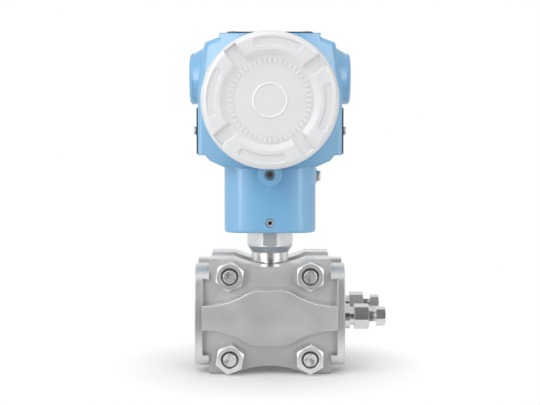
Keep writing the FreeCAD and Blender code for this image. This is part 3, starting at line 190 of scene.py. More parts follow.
class Finish(Tree):
    """A material in the making. Its place is the point on the piece, in millimetres."""

    def __init__(self, name):
        self.material = bpy.data.materials.new(name)
        self.material.use_nodes = True
        super().__init__(self.material.node_tree)
        self.shader = self.tree.nodes["Principled BSDF"]
        point = self.node("ShaderNodeTexCoord", output="Object")
        self.place = self.vector("SCALE", point, Scale=1 / MM)

    def vector(self, operation, *vectors, output=0, **sockets):
        """One step of a sum with vectors."""
        return self.node("ShaderNodeVectorMath", {"operation": operation},
                         {**dict(enumerate(vectors)), **sockets}, output)

    def coordinate(self, axis):
        """How far the point lies along X, Y or Z, in millimetres."""
        return self.node("ShaderNodeSeparateXYZ", sockets={0: self.place}, output=axis)

    def length(self, *parts):
        """The length of a vector with those parts."""
        whole = self.node("ShaderNodeCombineXYZ", sockets=dict(enumerate(parts)))
        return self.vector("LENGTH", whole, output="Value")

    def noise(self, size, detail=2, stretch=(1, 1, 1)):
        """Soft noise from 0 to 1 whose blotches are about that many millimetres wide."""
        place = self.vector("MULTIPLY", self.place, stretch)
        return self.node("ShaderNodeTexNoise", {"noise_dimensions": "3D"},
                         {"Vector": place, "Scale": 1 / size, "Detail": detail})

    def mix(self, factor, first, second):
        """A colour between two colours."""
        return self.node("ShaderNodeMix", {"data_type": "RGBA"}, {
            "Factor_Float": factor, "A_Color": first, "B_Color": second}, "Result_Color")

    def bump(self, height, depth, normal=None):
        """A normal for that height, where a height of 1 stands depth millimetres proud."""
        sockets = {"Height": height, "Distance": depth * MM}
        if normal:
            sockets["Normal"] = normal
        return self.node("ShaderNodeBump", sockets=sockets)

    def rounded(self, radius):
        """The normal with every edge eased by that many millimetres."""
        return self.node("ShaderNodeBevel", {"samples": EDGE_SAMPLES}, {"Radius": radius * MM})

    def sheltered(self, reach, deepest=0.25, lightest=0.95):
        """1 in corners and gaps that are about that many millimetres deep and 0 on open faces."""
        open_sky = self.node("ShaderNodeAmbientOcclusion", {"samples": SHELTER_SAMPLES},
                             {"Distance": reach * MM}, "AO")
        return 1 - open_sky.between(deepest, lightest)

    def edge_of(self, rounded, sharpness):
        """1 along the edges that the rounded normal eases and 0 on flat faces."""
        true = self.node("ShaderNodeNewGeometry", output="True Normal")
        along = self.vector("DOT_PRODUCT", rounded, true, output="Value")
        return ((1 - along) * sharpness).between(0, 1)

    def done(self, **sockets):
        """Sets the shader's sockets, named with _ for a space, and gives the material."""
        for word, value in sockets.items():
            socket = self.shader.inputs[word.replace("_", " ")]
            if isinstance(value, Value):
                self.tree.links.new(value.socket, socket)
            else:
                socket.default_value = value
        return self.material


def grey(tone, warmth=0.0):
    """An opaque colour of that tone, with a touch more red than blue where warmth is above 0."""
    return (tone * (1 + warmth), tone, tone * (1 - warmth), 1)


# The housing, in millimetres. Its end walls lie WALL_OUT from the middle, reach WALL_REACH to each
# side and are slightly domed round the covers' axis. The skirt's faces lie SKIRT_OUT from the
# middle, end at SKIRT_TOP and are slightly crowned across. A lean is the rise over the run at
# SKIRT_OUT from the axis.
WALL_OUT = 34.0
WALL_REACH = 43.6
WALL_THICKNESS = 0.5
WALL_DOME = 0.23
COVER_AXIS = 178.2
SKIRT_OUT = 29.8
SKIRT_EASE = 5.0
SKIRT_CROWN = 0.31
SKIRT_TOP = 134.0


def crowned(paint, eased):
    """The eased normal, leaning outward where the casting's broad walls are domed or crowned."""
    across, out, up = (paint.coordinate(axis) for axis in "XYZ")
    on_wall = abs(abs(out) - WALL_OUT) < WALL_THICKNESS
    wall = on_wall * (abs(across) < WALL_REACH) * (up > SKIRT_TOP)
    skirt = abs(out).between(SKIRT_OUT - SKIRT_EASE, SKIRT_OUT) * (up < SKIRT_TOP)
    lean_across = (wall * WALL_DOME + skirt * SKIRT_CROWN) * across / SKIRT_OUT
    lean_up = wall * WALL_DOME * (up - COVER_AXIS) / SKIRT_OUT
    lean = paint.node("ShaderNodeCombineXYZ", sockets={0: lean_across, 2: lean_up})
    turned = paint.node("ShaderNodeVectorTransform", {
        "vector_type": "VECTOR", "convert_from": "OBJECT", "convert_to": "WORLD"}, {0: lean})
    return paint.vector("NORMALIZE", paint.vector("ADD", eased, turned))


# The paint: how strongly it mirrors, how rough the white is, and how much paler the edges are, as
# thin paint and as a painted highlight.
PAINT_IOR = 1.9
WHITE_ROUGHNESS = 0.36
THIN_PAINT_AND_HIGHLIGHT = 1.15


def enamel(name, colour, shade, roughness, peel, easing, lean=None):
    """Sprayed and baked paint on a casting: orange peel, faint cloudiness and eased edges."""
    paint = Finish(name)
    cloud = paint.noise(34, 2)
    skin = paint.noise(1.5, 2)
    eased = paint.rounded(easing)
    edge = paint.edge_of(eased, 5)
    body = paint.mix(cloud.between(0.3, 0.7), colour, shade)
    # paler edges: thin paint there, and a painted highlight along them
    thin_and_highlit = tuple(min(1, THIN_PAINT_AND_HIGHLIGHT * tone) for tone in colour[:3]) + (1,)
    # painted shade: the paint darkens towards near black in corners and gaps
    gaps = paint.sheltered(2.0, 0.15, 0.5)
    return paint.done(
        Base_Color=paint.mix(gaps * 0.85, paint.mix(edge * 0.6, body, thin_and_highlit), grey(0.03)),
        Roughness=roughness + 0.08 * (paint.noise(6, 3) - 0.5) + 0.05 * edge,
        Normal=paint.bump(skin, peel, lean(paint, eased) if lean else eased),
        IOR=PAINT_IOR,
    )


def blue_enamel():
    """The head's blue, glossy and with well rounded edges."""
    return enamel("blue_enamel", (0.205, 0.475, 0.735, 1), (0.19, 0.455, 0.715, 1),
                  roughness=0.24, peel=0.03, easing=1.6, lean=crowned)


def white_enamel():
    """The covers' white, duller and crisper."""
    return enamel("white_enamel", (0.765, 0.768, 0.775, 1), (0.74, 0.743, 0.755, 1),
                  roughness=WHITE_ROUGHNESS, peel=0.04, easing=0.8)


def white_marks():
    """The same white, paler on raised marks as a painted highlight, with painted shade along their
    feet.
    """
    paint = Finish("white_marks")
    # painted shade at the marks' feet; the marks' paler white is a painted highlight
    foot_shade = paint.sheltered(1.2, 0.45, 0.8)
    return paint.done(
        Base_Color=paint.mix(foot_shade * 0.3, grey(0.86), grey(0.4)),
        Roughness=WHITE_ROUGHNESS + 0.08 * (paint.noise(6, 3) - 0.5),
        Normal=paint.rounded(0.15),
        IOR=PAINT_IOR,
    )


# The flanges, in millimetres. The pads at their ends start this far from the middle, and nearer
# above and below the milled band.
PORT_HEIGHT = 37.75
PORT_OUT = 27.0
PAD_START = 43.8
PAD_CORNER_START = 39.6
MILLED_HALF_HEIGHT = 24.9
# a face that points up by more than this is level
LEVEL_RISE = 0.85
# how far below the ports the casting starts to darken as painted shade, and where it is darkest
LOW_SHADE_START = 8
LOW_SHADE_FULL = 30
# the bolts' places from the ports' height and the middle, and where their nut ends start
BOLT_ACROSS = 26.0
BOLT_UP = 27.0
BOLT_END_START = 36.5
# the bolt's bevel and the nut's, as distances from the bolt's axis
THREAD_CREST_START = 4.3
THREAD_CREST_END = 5.15
# where the vent stem is darker, along the port's axis
VENT_GROOVE = (64.3, 67.3)
# the neck's set screw: how high its axis is, and its socket's reach
SET_SCREW_HEIGHT = 98.7
SET_SOCKET = 1.3
# the neck's taper and the bar over it start here, this much rougher than the neck under them
BAR_START = 77.6
BRUSHED_MORE = 0.2
# lathe marks to a millimetre
RINGS_PER_MM = 5.5


def cast_steel():
    """Investment-cast stainless steel: blasted faces, faintly brushed, and ground end pads."""
    steel = Finish("cast_steel")
    grain = steel.noise(0.35, 3)
    streaks = steel.noise(0.5, 3, stretch=(0.04, 1, 1))
    cloud = steel.noise(16, 3)
    eased = steel.rounded(0.8)
    edge = steel.edge_of(eased, 7)
    across = abs(steel.coordinate("X"))
    up = abs(steel.coordinate("Z") - PORT_HEIGHT)
    corner = (across > PAD_CORNER_START) * (up > MILLED_HALF_HEIGHT)
    ground = ((across > PAD_START) + corner).between(0, 1)
    cast = 1 - ground
    true = steel.node("ShaderNodeNewGeometry", output="True Normal")
    level = steel.node("ShaderNodeSeparateXYZ", sockets={0: true}, output="Z") > LEVEL_RISE
    tilt = steel.node("ShaderNodeSeparateXYZ", sockets={0: eased}, output="Z")
    # painted shade: the cast faces darken towards the bottom, below the ports
    low = (PORT_HEIGHT - steel.coordinate("Z")).between(LOW_SHADE_START, LOW_SHADE_FULL) * cast
    tone = steel.mix(cloud.between(0.25, 0.75), grey(0.75), grey(0.81))
    low_shaded = steel.mix(low * 0.8, tone, grey(0.42))
    # painted shade in corners, and next to the nuts
    shaded = steel.mix(steel.sheltered(3) * 0.5, low_shaded, grey(0.12))
    # painted highlight and shade on the eased edges: light where they face up, dark where they
    # face down
    edge_light_and_shade = steel.mix(tilt.between(-0.15, 0.15), grey(0.3), grey(0.9))
    smoother = 0.1 * ground + 0.16 * level * cast + 0.14 * edge
    uneven = 0.14 * (streaks - 0.5) * (1 - 0.7 * ground) + 0.1 * (cloud - 0.5)
    return steel.done(
        Metallic=1.0,
        Base_Color=steel.mix(edge * 0.8, shaded, edge_light_and_shade),
        Roughness=0.46 - smoother + uneven,
        Normal=steel.bump(grain * 0.6 + streaks * 0.4, 0.025, eased),
    )


def turned_steel(name, axis, roughness=0.2, brushed_from=None, groove=None):
    """Bar stock turned about one of its axes: fine even rings and a bright face.

    Where they are given, it is brushed duller beyond one place along that axis, and darker between
    two.
    """
    steel = Finish(name)
    along = steel.coordinate(axis)
    across = steel.length(*(steel.coordinate(other) for other in "XYZ" if other != axis))
    place = steel.node("ShaderNodeCombineXYZ", sockets={0: along, 1: across})
    rings = steel.node("ShaderNodeTexNoise", {"noise_dimensions": "2D"},
                       {"Vector": place, "Scale": RINGS_PER_MM, "Detail": 3})
    wear = steel.noise(5, 3)
    eased = steel.rounded(0.25)
    edge = steel.edge_of(eased, 6)
    dull = 0.0 if brushed_from is None else BRUSHED_MORE * (along > brushed_from)
    body = steel.mix(edge * 0.6, grey(0.74), grey(0.9))
    if groove:
        start, end = groove
        body = steel.mix(0.7 * (along > start) * (along < end), body, grey(0.12))
    return steel.done(
        Metallic=1.0,
        Base_Color=body,
        Roughness=roughness + dull + 0.12 * (rings - 0.5) + 0.08 * (wear - 0.5),
        Normal=steel.bump(rings, 0.008, eased),
    )


def fastener_steel(name, grease_and_shade, tone=0.88):
    """Forged or headed stainless steel, lightly tumbled: bright rims, and dark where the mask
    given is 1, which is painted shade in recesses and grease on the bolts.
    """
    steel = Finish(name)
    scuffs = steel.noise(1.6, 3)
    cloud = steel.noise(5, 2)
    eased = steel.rounded(0.4)
    edge = steel.edge_of(eased, 6)
    body = steel.mix(cloud.between(0.3, 0.7), grey(tone - 0.03), grey(tone + 0.03))
    return steel.done(
        Metallic=1.0,
        Base_Color=steel.mix(edge * 0.8, steel.mix(grease_and_shade(steel), body, grey(0.03)), grey(0.95)),
        Roughness=0.38 + 0.12 * (scuffs - 0.5) - 0.1 * edge,
        Normal=steel.bump(scuffs, 0.01, eased),
    )


def slot_shade(steel):
    """Painted shade in the slots and sockets of small screws."""
    return 0.9 * steel.sheltered(1.6)


def socket_shade(steel):
    """Painted shade within the hexagonal socket of the neck's set screw."""
    reach = steel.length(steel.coordinate("X"), steel.coordinate("Z") - SET_SCREW_HEIGHT)
    return 0.96 * (reach < SET_SOCKET)


def bolt_grease_and_shade(steel):
    """Painted shade and old grease on the thread where each flange bolt ends in its nut, and
    grease stains on its end.
    """
    reach = steel.length(abs(steel.coordinate("X")) - BOLT_ACROSS,
                         abs(steel.coordinate("Z") - PORT_HEIGHT) - BOLT_UP)
    # painted shade of the thread grooves on a ring round the bolt's end, with grease
    crest = 0.92 * (reach > THREAD_CREST_START) * (reach < THREAD_CREST_END)
    stain = 0.55 * steel.noise(2.6, 4).between(0.52, 0.66) * (reach < THREAD_CREST_START)
    return (crest + stain) * (abs(steel.coordinate("Y")) > BOLT_END_START)


def bright_steel():
    """Small screws and the threads of the head."""
    return fastener_steel("bright_steel", slot_shade, tone=0.76)


def dark_steel():
    """Blackened screws with the coating worn off their edges."""
    steel = Finish("dark_steel")
    eased = steel.rounded(0.2)
    edge = steel.edge_of(eased, 8)
    scuffs = steel.noise(0.9, 4)
    # painted shade: near black in the slots and recesses
    return steel.done(
        Metallic=1.0,
        Base_Color=steel.mix(steel.sheltered(1.2) * 0.9,
                             steel.mix(edge, grey(0.34, 0.12), grey(0.7, 0.05)), grey(0.02)),
        Roughness=0.32 + 0.2 * (scuffs - 0.5),
        Normal=steel.bump(scuffs, 0.02, eased),
    )


def dark_plate():
    """Anodised nameplate blanks, brushed along their length, with a narrow bright rim."""
    plate = Finish("dark_plate")
    lines = plate.noise(0.25, 2, stretch=(1, 0.02, 1))
    eased = plate.rounded(0.25)
    edge = plate.edge_of(eased, 8)
    return plate.done(
        Metallic=0.6,
        Base_Color=plate.mix(edge, (0.028, 0.034, 0.045, 1), grey(0.35)),
        Roughness=0.36 + 0.14 * (lines - 0.5),
        Normal=plate.bump(lines, 0.01, eased),
    )


def seal_rubber():
    """Black moulded rubber with a dull, faintly dusty skin."""
    rubber = Finish("seal_rubber")
    bloom = rubber.noise(3, 3)
    return rubber.done(
        Base_Color=rubber.mix(bloom, grey(0.018), grey(0.04)),
        Roughness=0.62 + 0.2 * (bloom - 0.5),
        Normal=rubber.bump(rubber.noise(0.4, 2), 0.02),
    )


def white_gasket():
    """Skived fluoropolymer: waxy white with faint cutting lines."""
    gasket = Finish("white_gasket")
    lines = gasket.noise(0.5, 2, stretch=(1, 0.1, 1))
    return gasket.done(
        Base_Color=gasket.mix(lines, grey(0.78, 0.01), grey(0.86)),
        Roughness=0.5 + 0.1 * (lines - 0.5),
        Normal=gasket.bump(lines, 0.02),
    )


def black_moulding():
    """Glass-filled black plastic: a speckle of fibres and a slight sheen."""
    plastic = Finish("black_moulding")
    fibres = plastic.noise(0.45, 4, stretch=(1, 1, 0.25))
    eased = plastic.rounded(0.3)
    return plastic.done(
        Base_Color=plastic.mix(fibres.between(0.45, 0.8), grey(0.022), grey(0.07)),
        Roughness=0.46 + 0.2 * (fibres - 0.5),
        Normal=plastic.bump(fibres, 0.03, eased),
    )


def plated_brass():
    """Nickel-gold plated contacts: warm, bright and softly tarnished."""
    brass = Finish("plated_brass")
    tarnish = brass.noise(2.2, 3)
    eased = brass.rounded(0.15)
    return brass.done(
        Metallic=1.0,
        Base_Color=brass.mix(tarnish, (0.78, 0.56, 0.24, 1), (0.86, 0.68, 0.36, 1)),
        Roughness=0.24 + 0.16 * (tarnish - 0.5),
        Normal=brass.bump(tarnish, 0.01, eased),
    )


def green_board():
    """Circuit board: green resist over copper tracks, with glass weave showing at a slant."""
    board = Finish("green_board")
    face = board.vector("MULTIPLY", board.place, (1.0, 0.0, 1.0))
    tracks = board.node(
        "ShaderNodeTexBrick", {"offset": 0.37, "squash": 1.6, "squash_frequency": 3},
        {"Vector": face, "Scale": 0.42, "Mortar Size": 0.035, "Brick Width": 1.4,
         "Row Height": 0.55}, "Fac")
    weave = board.noise(0.5, 2)
    return board.done(
        Base_Color=board.mix(tracks, (0.012, 0.11, 0.045, 1), (0.03, 0.2, 0.075, 1)),
        Roughness=0.3 + 0.1 * (weave - 0.5),
        Normal=board.bump(tracks, 0.035),
    )


# A finish for each material slot, then those of single pieces that were worked another way.
MAKERS = {
    "blue_enamel": blue_enamel,
    "white_enamel": white_enamel,
    "cast_steel": cast_steel,
    "bright_steel": bright_steel,
    "black_steel": dark_steel,
    "dark_plate": dark_plate,
    "seal_rubber": seal_rubber,
    "gasket_white": white_gasket,
    "black_plastic": black_moulding,
    "gold_brass": plated_brass,
    "green_board": green_board,
}
FINISHES = {slot: maker() for slot, maker in MAKERS.items()}
NECK_STEEL = turned_steel("neck_steel", "Z", roughness=0.27, brushed_from=BAR_START)
VENT_STEEL = turned_steel("vent_steel", "X", roughness=0.17, groove=VENT_GROOVE)
DISC_STEEL = turned_steel("disc_steel", "Y")
BOLT_STEEL = fastener_steel("bolt_steel", bolt_grease_and_shade)
FINISHES["polished_steel"] = VENT_STEEL
OWN_FINISHES = {
    "sensor_body": NECK_STEEL,
    "front_diaphragm": DISC_STEEL,
    "rear_diaphragm": DISC_STEEL,
    "neck_set_screw": fastener_steel("set_screw_steel", socket_shade),
    **{f"{corner}_{piece}": BOLT_STEEL for piece in ("nut", "bolt")
       for corner in ("upper_left", "upper_right", "lower_left", "lower_right")},
}


def dress_frame():
    """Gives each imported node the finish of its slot, or its own where it was worked apart."""
    for part in frame["record"]["subparts"]:
        node = part["node"]
        finish = OWN_FINISHES.get(node) or FINISHES[part["material_slot"]]
        for slot in frame["nodes"][node].material_slots:
            slot.material = finish


def middle(node):
    """The middle of a node's box."""
    low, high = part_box(node)
    return (low + high) / 2


def shape_tree(name, sizes):
    """A new Geometry Nodes tree with a named input for each size and one mesh output."""
    group = bpy.data.node_groups.new(name, "GeometryNodeTree")
    for word, value in sizes.items():
        kind = "NodeSocketInt" if isinstance(value, int) else "NodeSocketFloat"
        group.interface.new_socket(word, in_out="INPUT", socket_type=kind)
    group.interface.new_socket("Mesh", in_out="OUTPUT", socket_type="NodeSocketGeometry")
    tree = Tree(group)
    inputs = group.nodes.new("NodeGroupInput")
    return tree, {word: Value(tree, inputs.outputs[word]) for word in sizes}


def end_tree(tree, instances, finish):
    """Ends a tree as every one here ends: instances made real, then their material."""
    real = tree.node("GeometryNodeRealizeInstances", sockets={"Geometry": instances})
    dressed = tree.node("GeometryNodeSetMaterial", sockets={"Geometry": real, "Material": finish})
    output = tree.tree.nodes.new("NodeGroupOutput")
    tree.tree.links.new(dressed.socket, output.inputs["Mesh"])


def add_object(name, data):
    """A new object in the scene."""
    thing = bpy.data.objects.new(name, data)
    bpy.context.scene.collection.objects.link(thing)
    return thing


def drop_empty_slots(mesh):
    """Takes out the empty material slots that a primitive's mesh brings along."""
    for place in reversed(range(len(mesh.materials))):
        if mesh.materials[place] is None:
            mesh.materials.pop(index=place)


def grow(name, tree, sizes, placing):
    """Runs a tree with those sizes and places what grows by a matrix, as a plain mesh object."""
    seed = add_object(name + "_seed", bpy.data.meshes.new(name + "_seed"))
    modifier = seed.modifiers.new("grow", "NODES")
    modifier.node_group = tree.tree
    for item in tree.tree.interface.items_tree:
        if item.in_out == "INPUT":
            modifier[item.identifier] = sizes[item.name]
    grown = seed.evaluated_get(bpy.context.evaluated_depsgraph_get())
    mesh = bpy.data.meshes.new_from_object(grown)
    bpy.data.objects.remove(seed)
    mesh.name = name
    drop_empty_slots(mesh)
    shape = bmesh.new()
    shape.from_mesh(mesh)
    bmesh.ops.recalc_face_normals(shape, faces=shape.faces)
    shape.to_mesh(mesh)
    shape.free()
    mesh.transform(placing)
    return add_object(name, mesh)


# The named inputs of each tree below: 1.0 stands for a length or a ratio, and 1 for a count.
# A screw thread is a ridge wound along a cylinder.
THREAD_SIZES = {"Radius": 1.0, "Pitch": 1.0, "Turns": 1.0, "Depth": 1.0, "Steps": 1}
THREAD_SIDES = 4


def thread_tree(name, finish):
    """A helical ridge about +Z from the origin, with a pointed section."""
    tree, size = shape_tree(name, THREAD_SIZES)
    path = tree.node("GeometryNodeCurveSpiral", sockets={
        "Resolution": size["Steps"], "Rotations": size["Turns"], "Start Radius": size["Radius"],
        "End Radius": size["Radius"], "Height": size["Pitch"] * size["Turns"]})
    upright = tree.node("GeometryNodeSetCurveNormal", {"mode": "Z_UP"}, {"Curve": path})
    section = tree.node("GeometryNodeCurvePrimitiveCircle", sockets={
        "Resolution": THREAD_SIDES, "Radius": size["Depth"]})
    ridge = tree.node("GeometryNodeCurveToMesh", sockets={
        "Curve": upright, "Profile Curve": section, "Fill Caps": True})
    end_tree(tree, ridge, finish)
    return tree


# Dial ticks: a ring of raised marks. A long one is this much longer than the rest.
TICK_SIZES = {"Count": 1, "Radius": 1.0, "Length": 1.0, "Width": 1.0, "Height": 1.0,
              "Long Every": 1}
LONG_TICK_MORE = 0.6


def tick_tree(name, finish):
    """Raised ticks in a ring about +Z, a long one as often as asked."""
    tree, size = shape_tree(name, TICK_SIZES)
    ring = tree.node("GeometryNodeMeshCircle", sockets={
        "Vertices": size["Count"], "Radius": size["Radius"]})
    block = tree.node("ShaderNodeCombineXYZ", sockets={
        0: size["Length"], 1: size["Width"], 2: size["Height"]})
    tick = tree.node("GeometryNodeMeshCube", sockets={"Size": block})
    outward = tree.node("FunctionNodeAlignRotationToVector", {"axis": "X"}, {
        "Vector": tree.node("GeometryNodeInputPosition")})
    order = tree.node("GeometryNodeInputIndex")
    longer = 1 + LONG_TICK_MORE * (order % size["Long Every"] < 0.5)
    stretch = tree.node("ShaderNodeCombineXYZ", sockets={0: longer, 1: 1.0, 2: 1.0})
    ticks = tree.node("GeometryNodeInstanceOnPoints", sockets={
        "Points": ring, "Instance": tick, "Rotation": outward, "Scale": stretch})
    end_tree(tree, ticks, finish)
    return tree


# A plain raised ring.
RING_SIZES = {"Radius": 1.0, "Thickness": 1.0, "Steps": 1}
RING_SIDES = 12


def ring_tree(name, finish):
    """A round-section ring about +Z, half sunk in the face that it lies on."""
    tree, size = shape_tree(name, RING_SIZES)
    path = tree.node("GeometryNodeCurvePrimitiveCircle", sockets={
        "Resolution": size["Steps"], "Radius": size["Radius"]})
    section = tree.node("GeometryNodeCurvePrimitiveCircle", sockets={
        "Resolution": RING_SIDES, "Radius": size["Thickness"]})
    band = tree.node("GeometryNodeCurveToMesh", sockets={"Curve": path, "Profile Curve": section})
    end_tree(tree, band, finish)
    return tree


def facing(x, y, z, direction):
    """The matrix that carries +Z onto a direction and the origin to a point."""
    turn = Vector(direction).to_track_quat("Z", "Y").to_matrix().to_4x4()
    return Matrix.Translation((x, y, z)) @ turn


COVER_FLOOR_DEPTH = 3.2 * MM
TICK_RING_RADIUS = 24.6 * MM
TICK_COUNT = 48
TICK_LENGTH = 2.7 * MM
TICK_WIDTH = 1.3 * MM
TICK_HEIGHT = 1.6 * MM
LONG_TICK_EVERY = 6
HUB_RING_RADIUS = 10.5 * MM
HUB_RING_THICKNESS = 0.7 * MM
RING_STEPS = 96


def add_cover_marks():
    """A plain graduated ring and a plain inner ring in the well of each cover."""
    marks = white_marks()
    ticks = tick_tree("cover_ticks", marks)
    tick_sizes = {"Count": TICK_COUNT, "Radius": TICK_RING_RADIUS, "Length": TICK_LENGTH,
                  "Width": TICK_WIDTH, "Height": TICK_HEIGHT, "Long Every": LONG_TICK_EVERY}
    ring = ring_tree("cover_ring", marks)
    ring_sizes = {"Radius": HUB_RING_RADIUS, "Thickness": HUB_RING_THICKNESS, "Steps": RING_STEPS}
    for word, way in (("front", -1), ("rear", 1)):
        node = word + "_cover"
        low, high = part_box(node)
        face = low.y if way < 0 else high.y
        centre = middle(node)
        spot = facing(centre.x, face - way * COVER_FLOOR_DEPTH, centre.z, (0, way, 0))
        for name, tree, sizes in (("_ticks", ticks, tick_sizes), ("_ring", ring, ring_sizes)):
            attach(grow(node + name, tree, sizes, spot), node)


# Threads, in millimetres. The start is how far out along its axis a thread's first turn is. From
# this pitch on a thread is as deep as any.
THREAD_DEPTH = 0.55
FULL_DEPTH_PITCH = 1.5
STEPS_A_TURN = 48
ENTRY_HEIGHT = 192.0
ENTRY_DEPTH = -10.0
ENTRY_THREAD = {"radius": 9.25, "pitch": 1.5, "start": 51.0, "length": 13.0}
COVER_THREAD = {"radius": 38.05, "pitch": 2.0, "start": 41.2, "length": 8.0}
COMPARTMENT_THREAD = {"radius": 38.1, "pitch": 2.0, "start": 44.2, "length": 12.0}
PORT_THREAD = {"radius": 5.7, "pitch": 1.41, "start": 47.8, "length": 13.0}
STEM_THREAD = {"radius": 3.15, "pitch": 1.0, "start": 56.0, "length": 13.0}


def threads():
    """Every thread that a moved cover, an open hole or a backed-out stem lets show.

    Each comes with what carries it, its slot and sizes, where its first turn is, and which way
    the turns run from there.
    """
    yield ("right_entry_thread", "head", "bright_steel", ENTRY_THREAD,
           (ENTRY_THREAD["start"], ENTRY_DEPTH, ENTRY_HEIGHT), (-1, 0, 0))
    for word, way in (("front", -1), ("rear", 1)):
        yield (word + "_cover_thread", word + "_cover", "bright_steel", COVER_THREAD,
               (0, way * COVER_THREAD["start"], COVER_AXIS), (0, -way, 0))
        yield (word + "_compartment_thread", "head", "bright_steel", COMPARTMENT_THREAD,
               (0, way * COMPARTMENT_THREAD["start"], COVER_AXIS), (0, -way, 0))
        yield (word + "_port_thread", "sensor", "cast_steel", PORT_THREAD,
               (-PORT_THREAD["start"], way * PORT_OUT, PORT_HEIGHT), (1, 0, 0))
        yield (word + "_stem_thread", word + "_vent_stem", "polished_steel", STEM_THREAD,
               (STEM_THREAD["start"], way * PORT_OUT, PORT_HEIGHT), (1, 0, 0))


def add_threads():
    """Grows the threads, with one tree for each of their finishes."""
    trees = {slot: thread_tree(slot + "_thread", FINISHES[slot])
             for slot in ("bright_steel", "cast_steel", "polished_steel")}
    for name, body, slot, thread, start, way in threads():
        tree = trees[slot]
        pitch = thread["pitch"]
        depth = min(THREAD_DEPTH, THREAD_DEPTH * pitch / FULL_DEPTH_PITCH)
        sizes = {"Radius": thread["radius"] * MM, "Pitch": pitch * MM,
                 "Turns": thread["length"] / pitch, "Depth": depth * MM, "Steps": STEPS_A_TURN}
        spot = facing(*(part * MM for part in start), way)
        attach(grow(name, tree, sizes, spot), body)


def flat_object(name, corners, faces, finish):
    """An object of flat faces in one finish."""
    mesh = bpy.data.meshes.new(name)
    mesh.from_pydata(corners, [], faces)
    mesh.materials.append(finish)
    return add_object(name, mesh)


def add_stage():
    """A pale floor that fades to white, and a dark card on it for the metal to mirror."""
    half = FLOOR_HALF_WIDTH
    around = ((-half, -half), (half, -half), (half, half), (-half, half))
    floor = flat_object("floor", [(x, y, -FLOOR_DROP) for x, y in around], [(0, 1, 2, 3)],
                        floor_finish())

    wide = CARD_HALF_WIDTH
    narrow = RUNNER_NEAR_HALF_WIDTH
    corners = [
        (-narrow, -RUNNER_NEAR, RUNNER_HEIGHT), (narrow, -RUNNER_NEAR, RUNNER_HEIGHT),
        (wide, -CARD_DISTANCE, RUNNER_HEIGHT), (-wide, -CARD_DISTANCE, RUNNER_HEIGHT),
        (wide, -CARD_DISTANCE, CARD_TOP), (-wide, -CARD_DISTANCE, CARD_TOP)]
    card = flat_object("dark_card", corners, [(0, 1, 2, 3), (3, 2, 4, 5)], card_finish())
    card.visible_camera = False
    card.visible_diffuse = False
    card.visible_shadow = False


def seen_rays(tree):
    """1 for rays that show the background to the camera, straight or by way of metal or glass."""
    rays = {word: tree.node("ShaderNodeLightPath", output=f"Is {word} Ray")
            for word in ("Camera", "Glossy", "Transmission")}
    return (rays["Camera"] + rays["Glossy"] + rays["Transmission"]).between(0, 1)


def floor_finish():
    """Matt white board. What is seen of it fades to pure white away from the object."""
    board = Finish("floor_board")
    flat = board.vector("MULTIPLY", board.place, (MM, MM, 0.0))
    reach = board.vector("LENGTH", flat, output="Value")
    fade = FLOOR_WHITE_NEAR + (1 - FLOOR_WHITE_NEAR) * reach.between(
        FLOOR_FADE_START, FLOOR_FADE_START + FLOOR_FADE_LENGTH)
    cloud = board.noise(FLOOR_CLOUD_WIDTH)
    matt = board.node("ShaderNodeBsdfDiffuse", sockets={
        "Color": board.mix(cloud, grey(FLOOR_TONE), grey(FLOOR_TONE - FLOOR_CLOUDING))})
    white = board.node("ShaderNodeEmission", sockets={"Color": grey(1.0), "Strength": 1.0})
    surface = board.node("ShaderNodeMixShader", sockets={
        0: fade * seen_rays(board), 1: matt, 2: white})
    board.tree.links.new(surface.socket, board.tree.nodes["Material Output"].inputs["Surface"])
    return board.material


def card_finish():
    """A dark tone, with a lighter band across the runner and a lighter end next to the object."""
    card = Finish("card_cloth")
    away = (-1 * card.coordinate("Y")).between(0, RUNNER_REACH / MM)
    bands = card.node("ShaderNodeValToRGB", {"stops": [
        (distance / RUNNER_REACH, grey(tone)) for distance, tone in RUNNER_TONES]}, {"Fac": away})
    tone = card.node("ShaderNodeEmission", sockets={"Color": bands, "Strength": 1.0})
    card.tree.links.new(tone.socket, card.tree.nodes["Material Output"].inputs["Surface"])
    return card.material


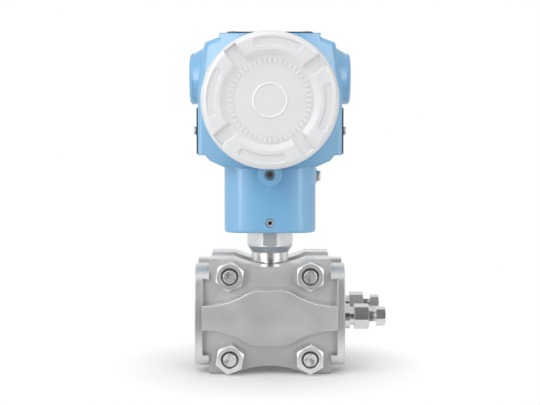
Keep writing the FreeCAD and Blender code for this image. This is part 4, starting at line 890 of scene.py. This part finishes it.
def add_room():
    """White walls where they are seen, greyer overhead. Elsewhere they give a low even light."""
    world = bpy.data.worlds.new("white_room")
    world.use_nodes = True
    bpy.context.scene.world = world
    room = Tree(world.node_tree)
    direction = room.node("ShaderNodeTexCoord", output="Generated")
    rise = room.node("ShaderNodeSeparateXYZ", sockets={0: direction}, output="Z")
    across = room.node("ShaderNodeSeparateXYZ", sockets={0: direction}, output="X")
    straight = room.node("ShaderNodeLightPath", output="Is Camera Ray")
    side = across.between(-WALLS_MEET, WALLS_MEET)
    walls = LEFT_WALL_TONE + (RIGHT_WALL_TONE - LEFT_WALL_TONE) * side
    above = rise.between(CEILING_START, CEILING_FULL)
    mirrored = walls + (CEILING_TONE - walls) * above
    seen = straight + (1 - straight) * mirrored
    strength = ROOM_LIGHT + (seen - ROOM_LIGHT) * seen_rays(room)
    background = world.node_tree.nodes["Background"]
    background.inputs["Color"].default_value = grey(1.0)
    world.node_tree.links.new(strength.socket, background.inputs["Strength"])


def add_light(name, place, aim, width, length, watts, mirrored):
    """A rectangular soft light that points at a spot. Metal shows it only where it is mirrored."""
    lamp = bpy.data.lights.new(name, "AREA")
    lamp.shape = "RECTANGLE"
    lamp.size = width
    lamp.size_y = length
    lamp.energy = watts
    light = add_object(name, lamp)
    light.location = place
    light.rotation_euler = (Vector(aim) - Vector(place)).to_track_quat("-Z", "Y").to_euler()
    light.visible_glossy = mirrored


def add_lights():
    """The studio's lights, which all point at the head."""
    aim = middle("housing")
    for name, (degrees, distance, height, width, length, watts, mirrored) in LIGHTS.items():
        angle = math.radians(degrees)
        place = (distance * math.sin(angle), -distance * math.cos(angle), height)
        add_light(name, place, aim, width, length, watts, mirrored)


def add_camera():
    """The camera of the photo."""
    lens = bpy.data.cameras.new("camera")
    lens.lens = CAMERA_LENS
    lens.clip_start = CAMERA_NEAREST
    camera = add_object("camera", lens)
    camera.location = (0, -CAMERA_DISTANCE, CAMERA_HEIGHT)
    camera.rotation_euler = (math.pi / 2 - CAMERA_TILT, 0, 0)
    bpy.context.scene.camera = camera


bpy.context.scene.view_settings.view_transform = "Standard"
dress_frame()
add_cover_marks()
add_threads()
add_stage()
add_room()
add_lights()
add_camera()
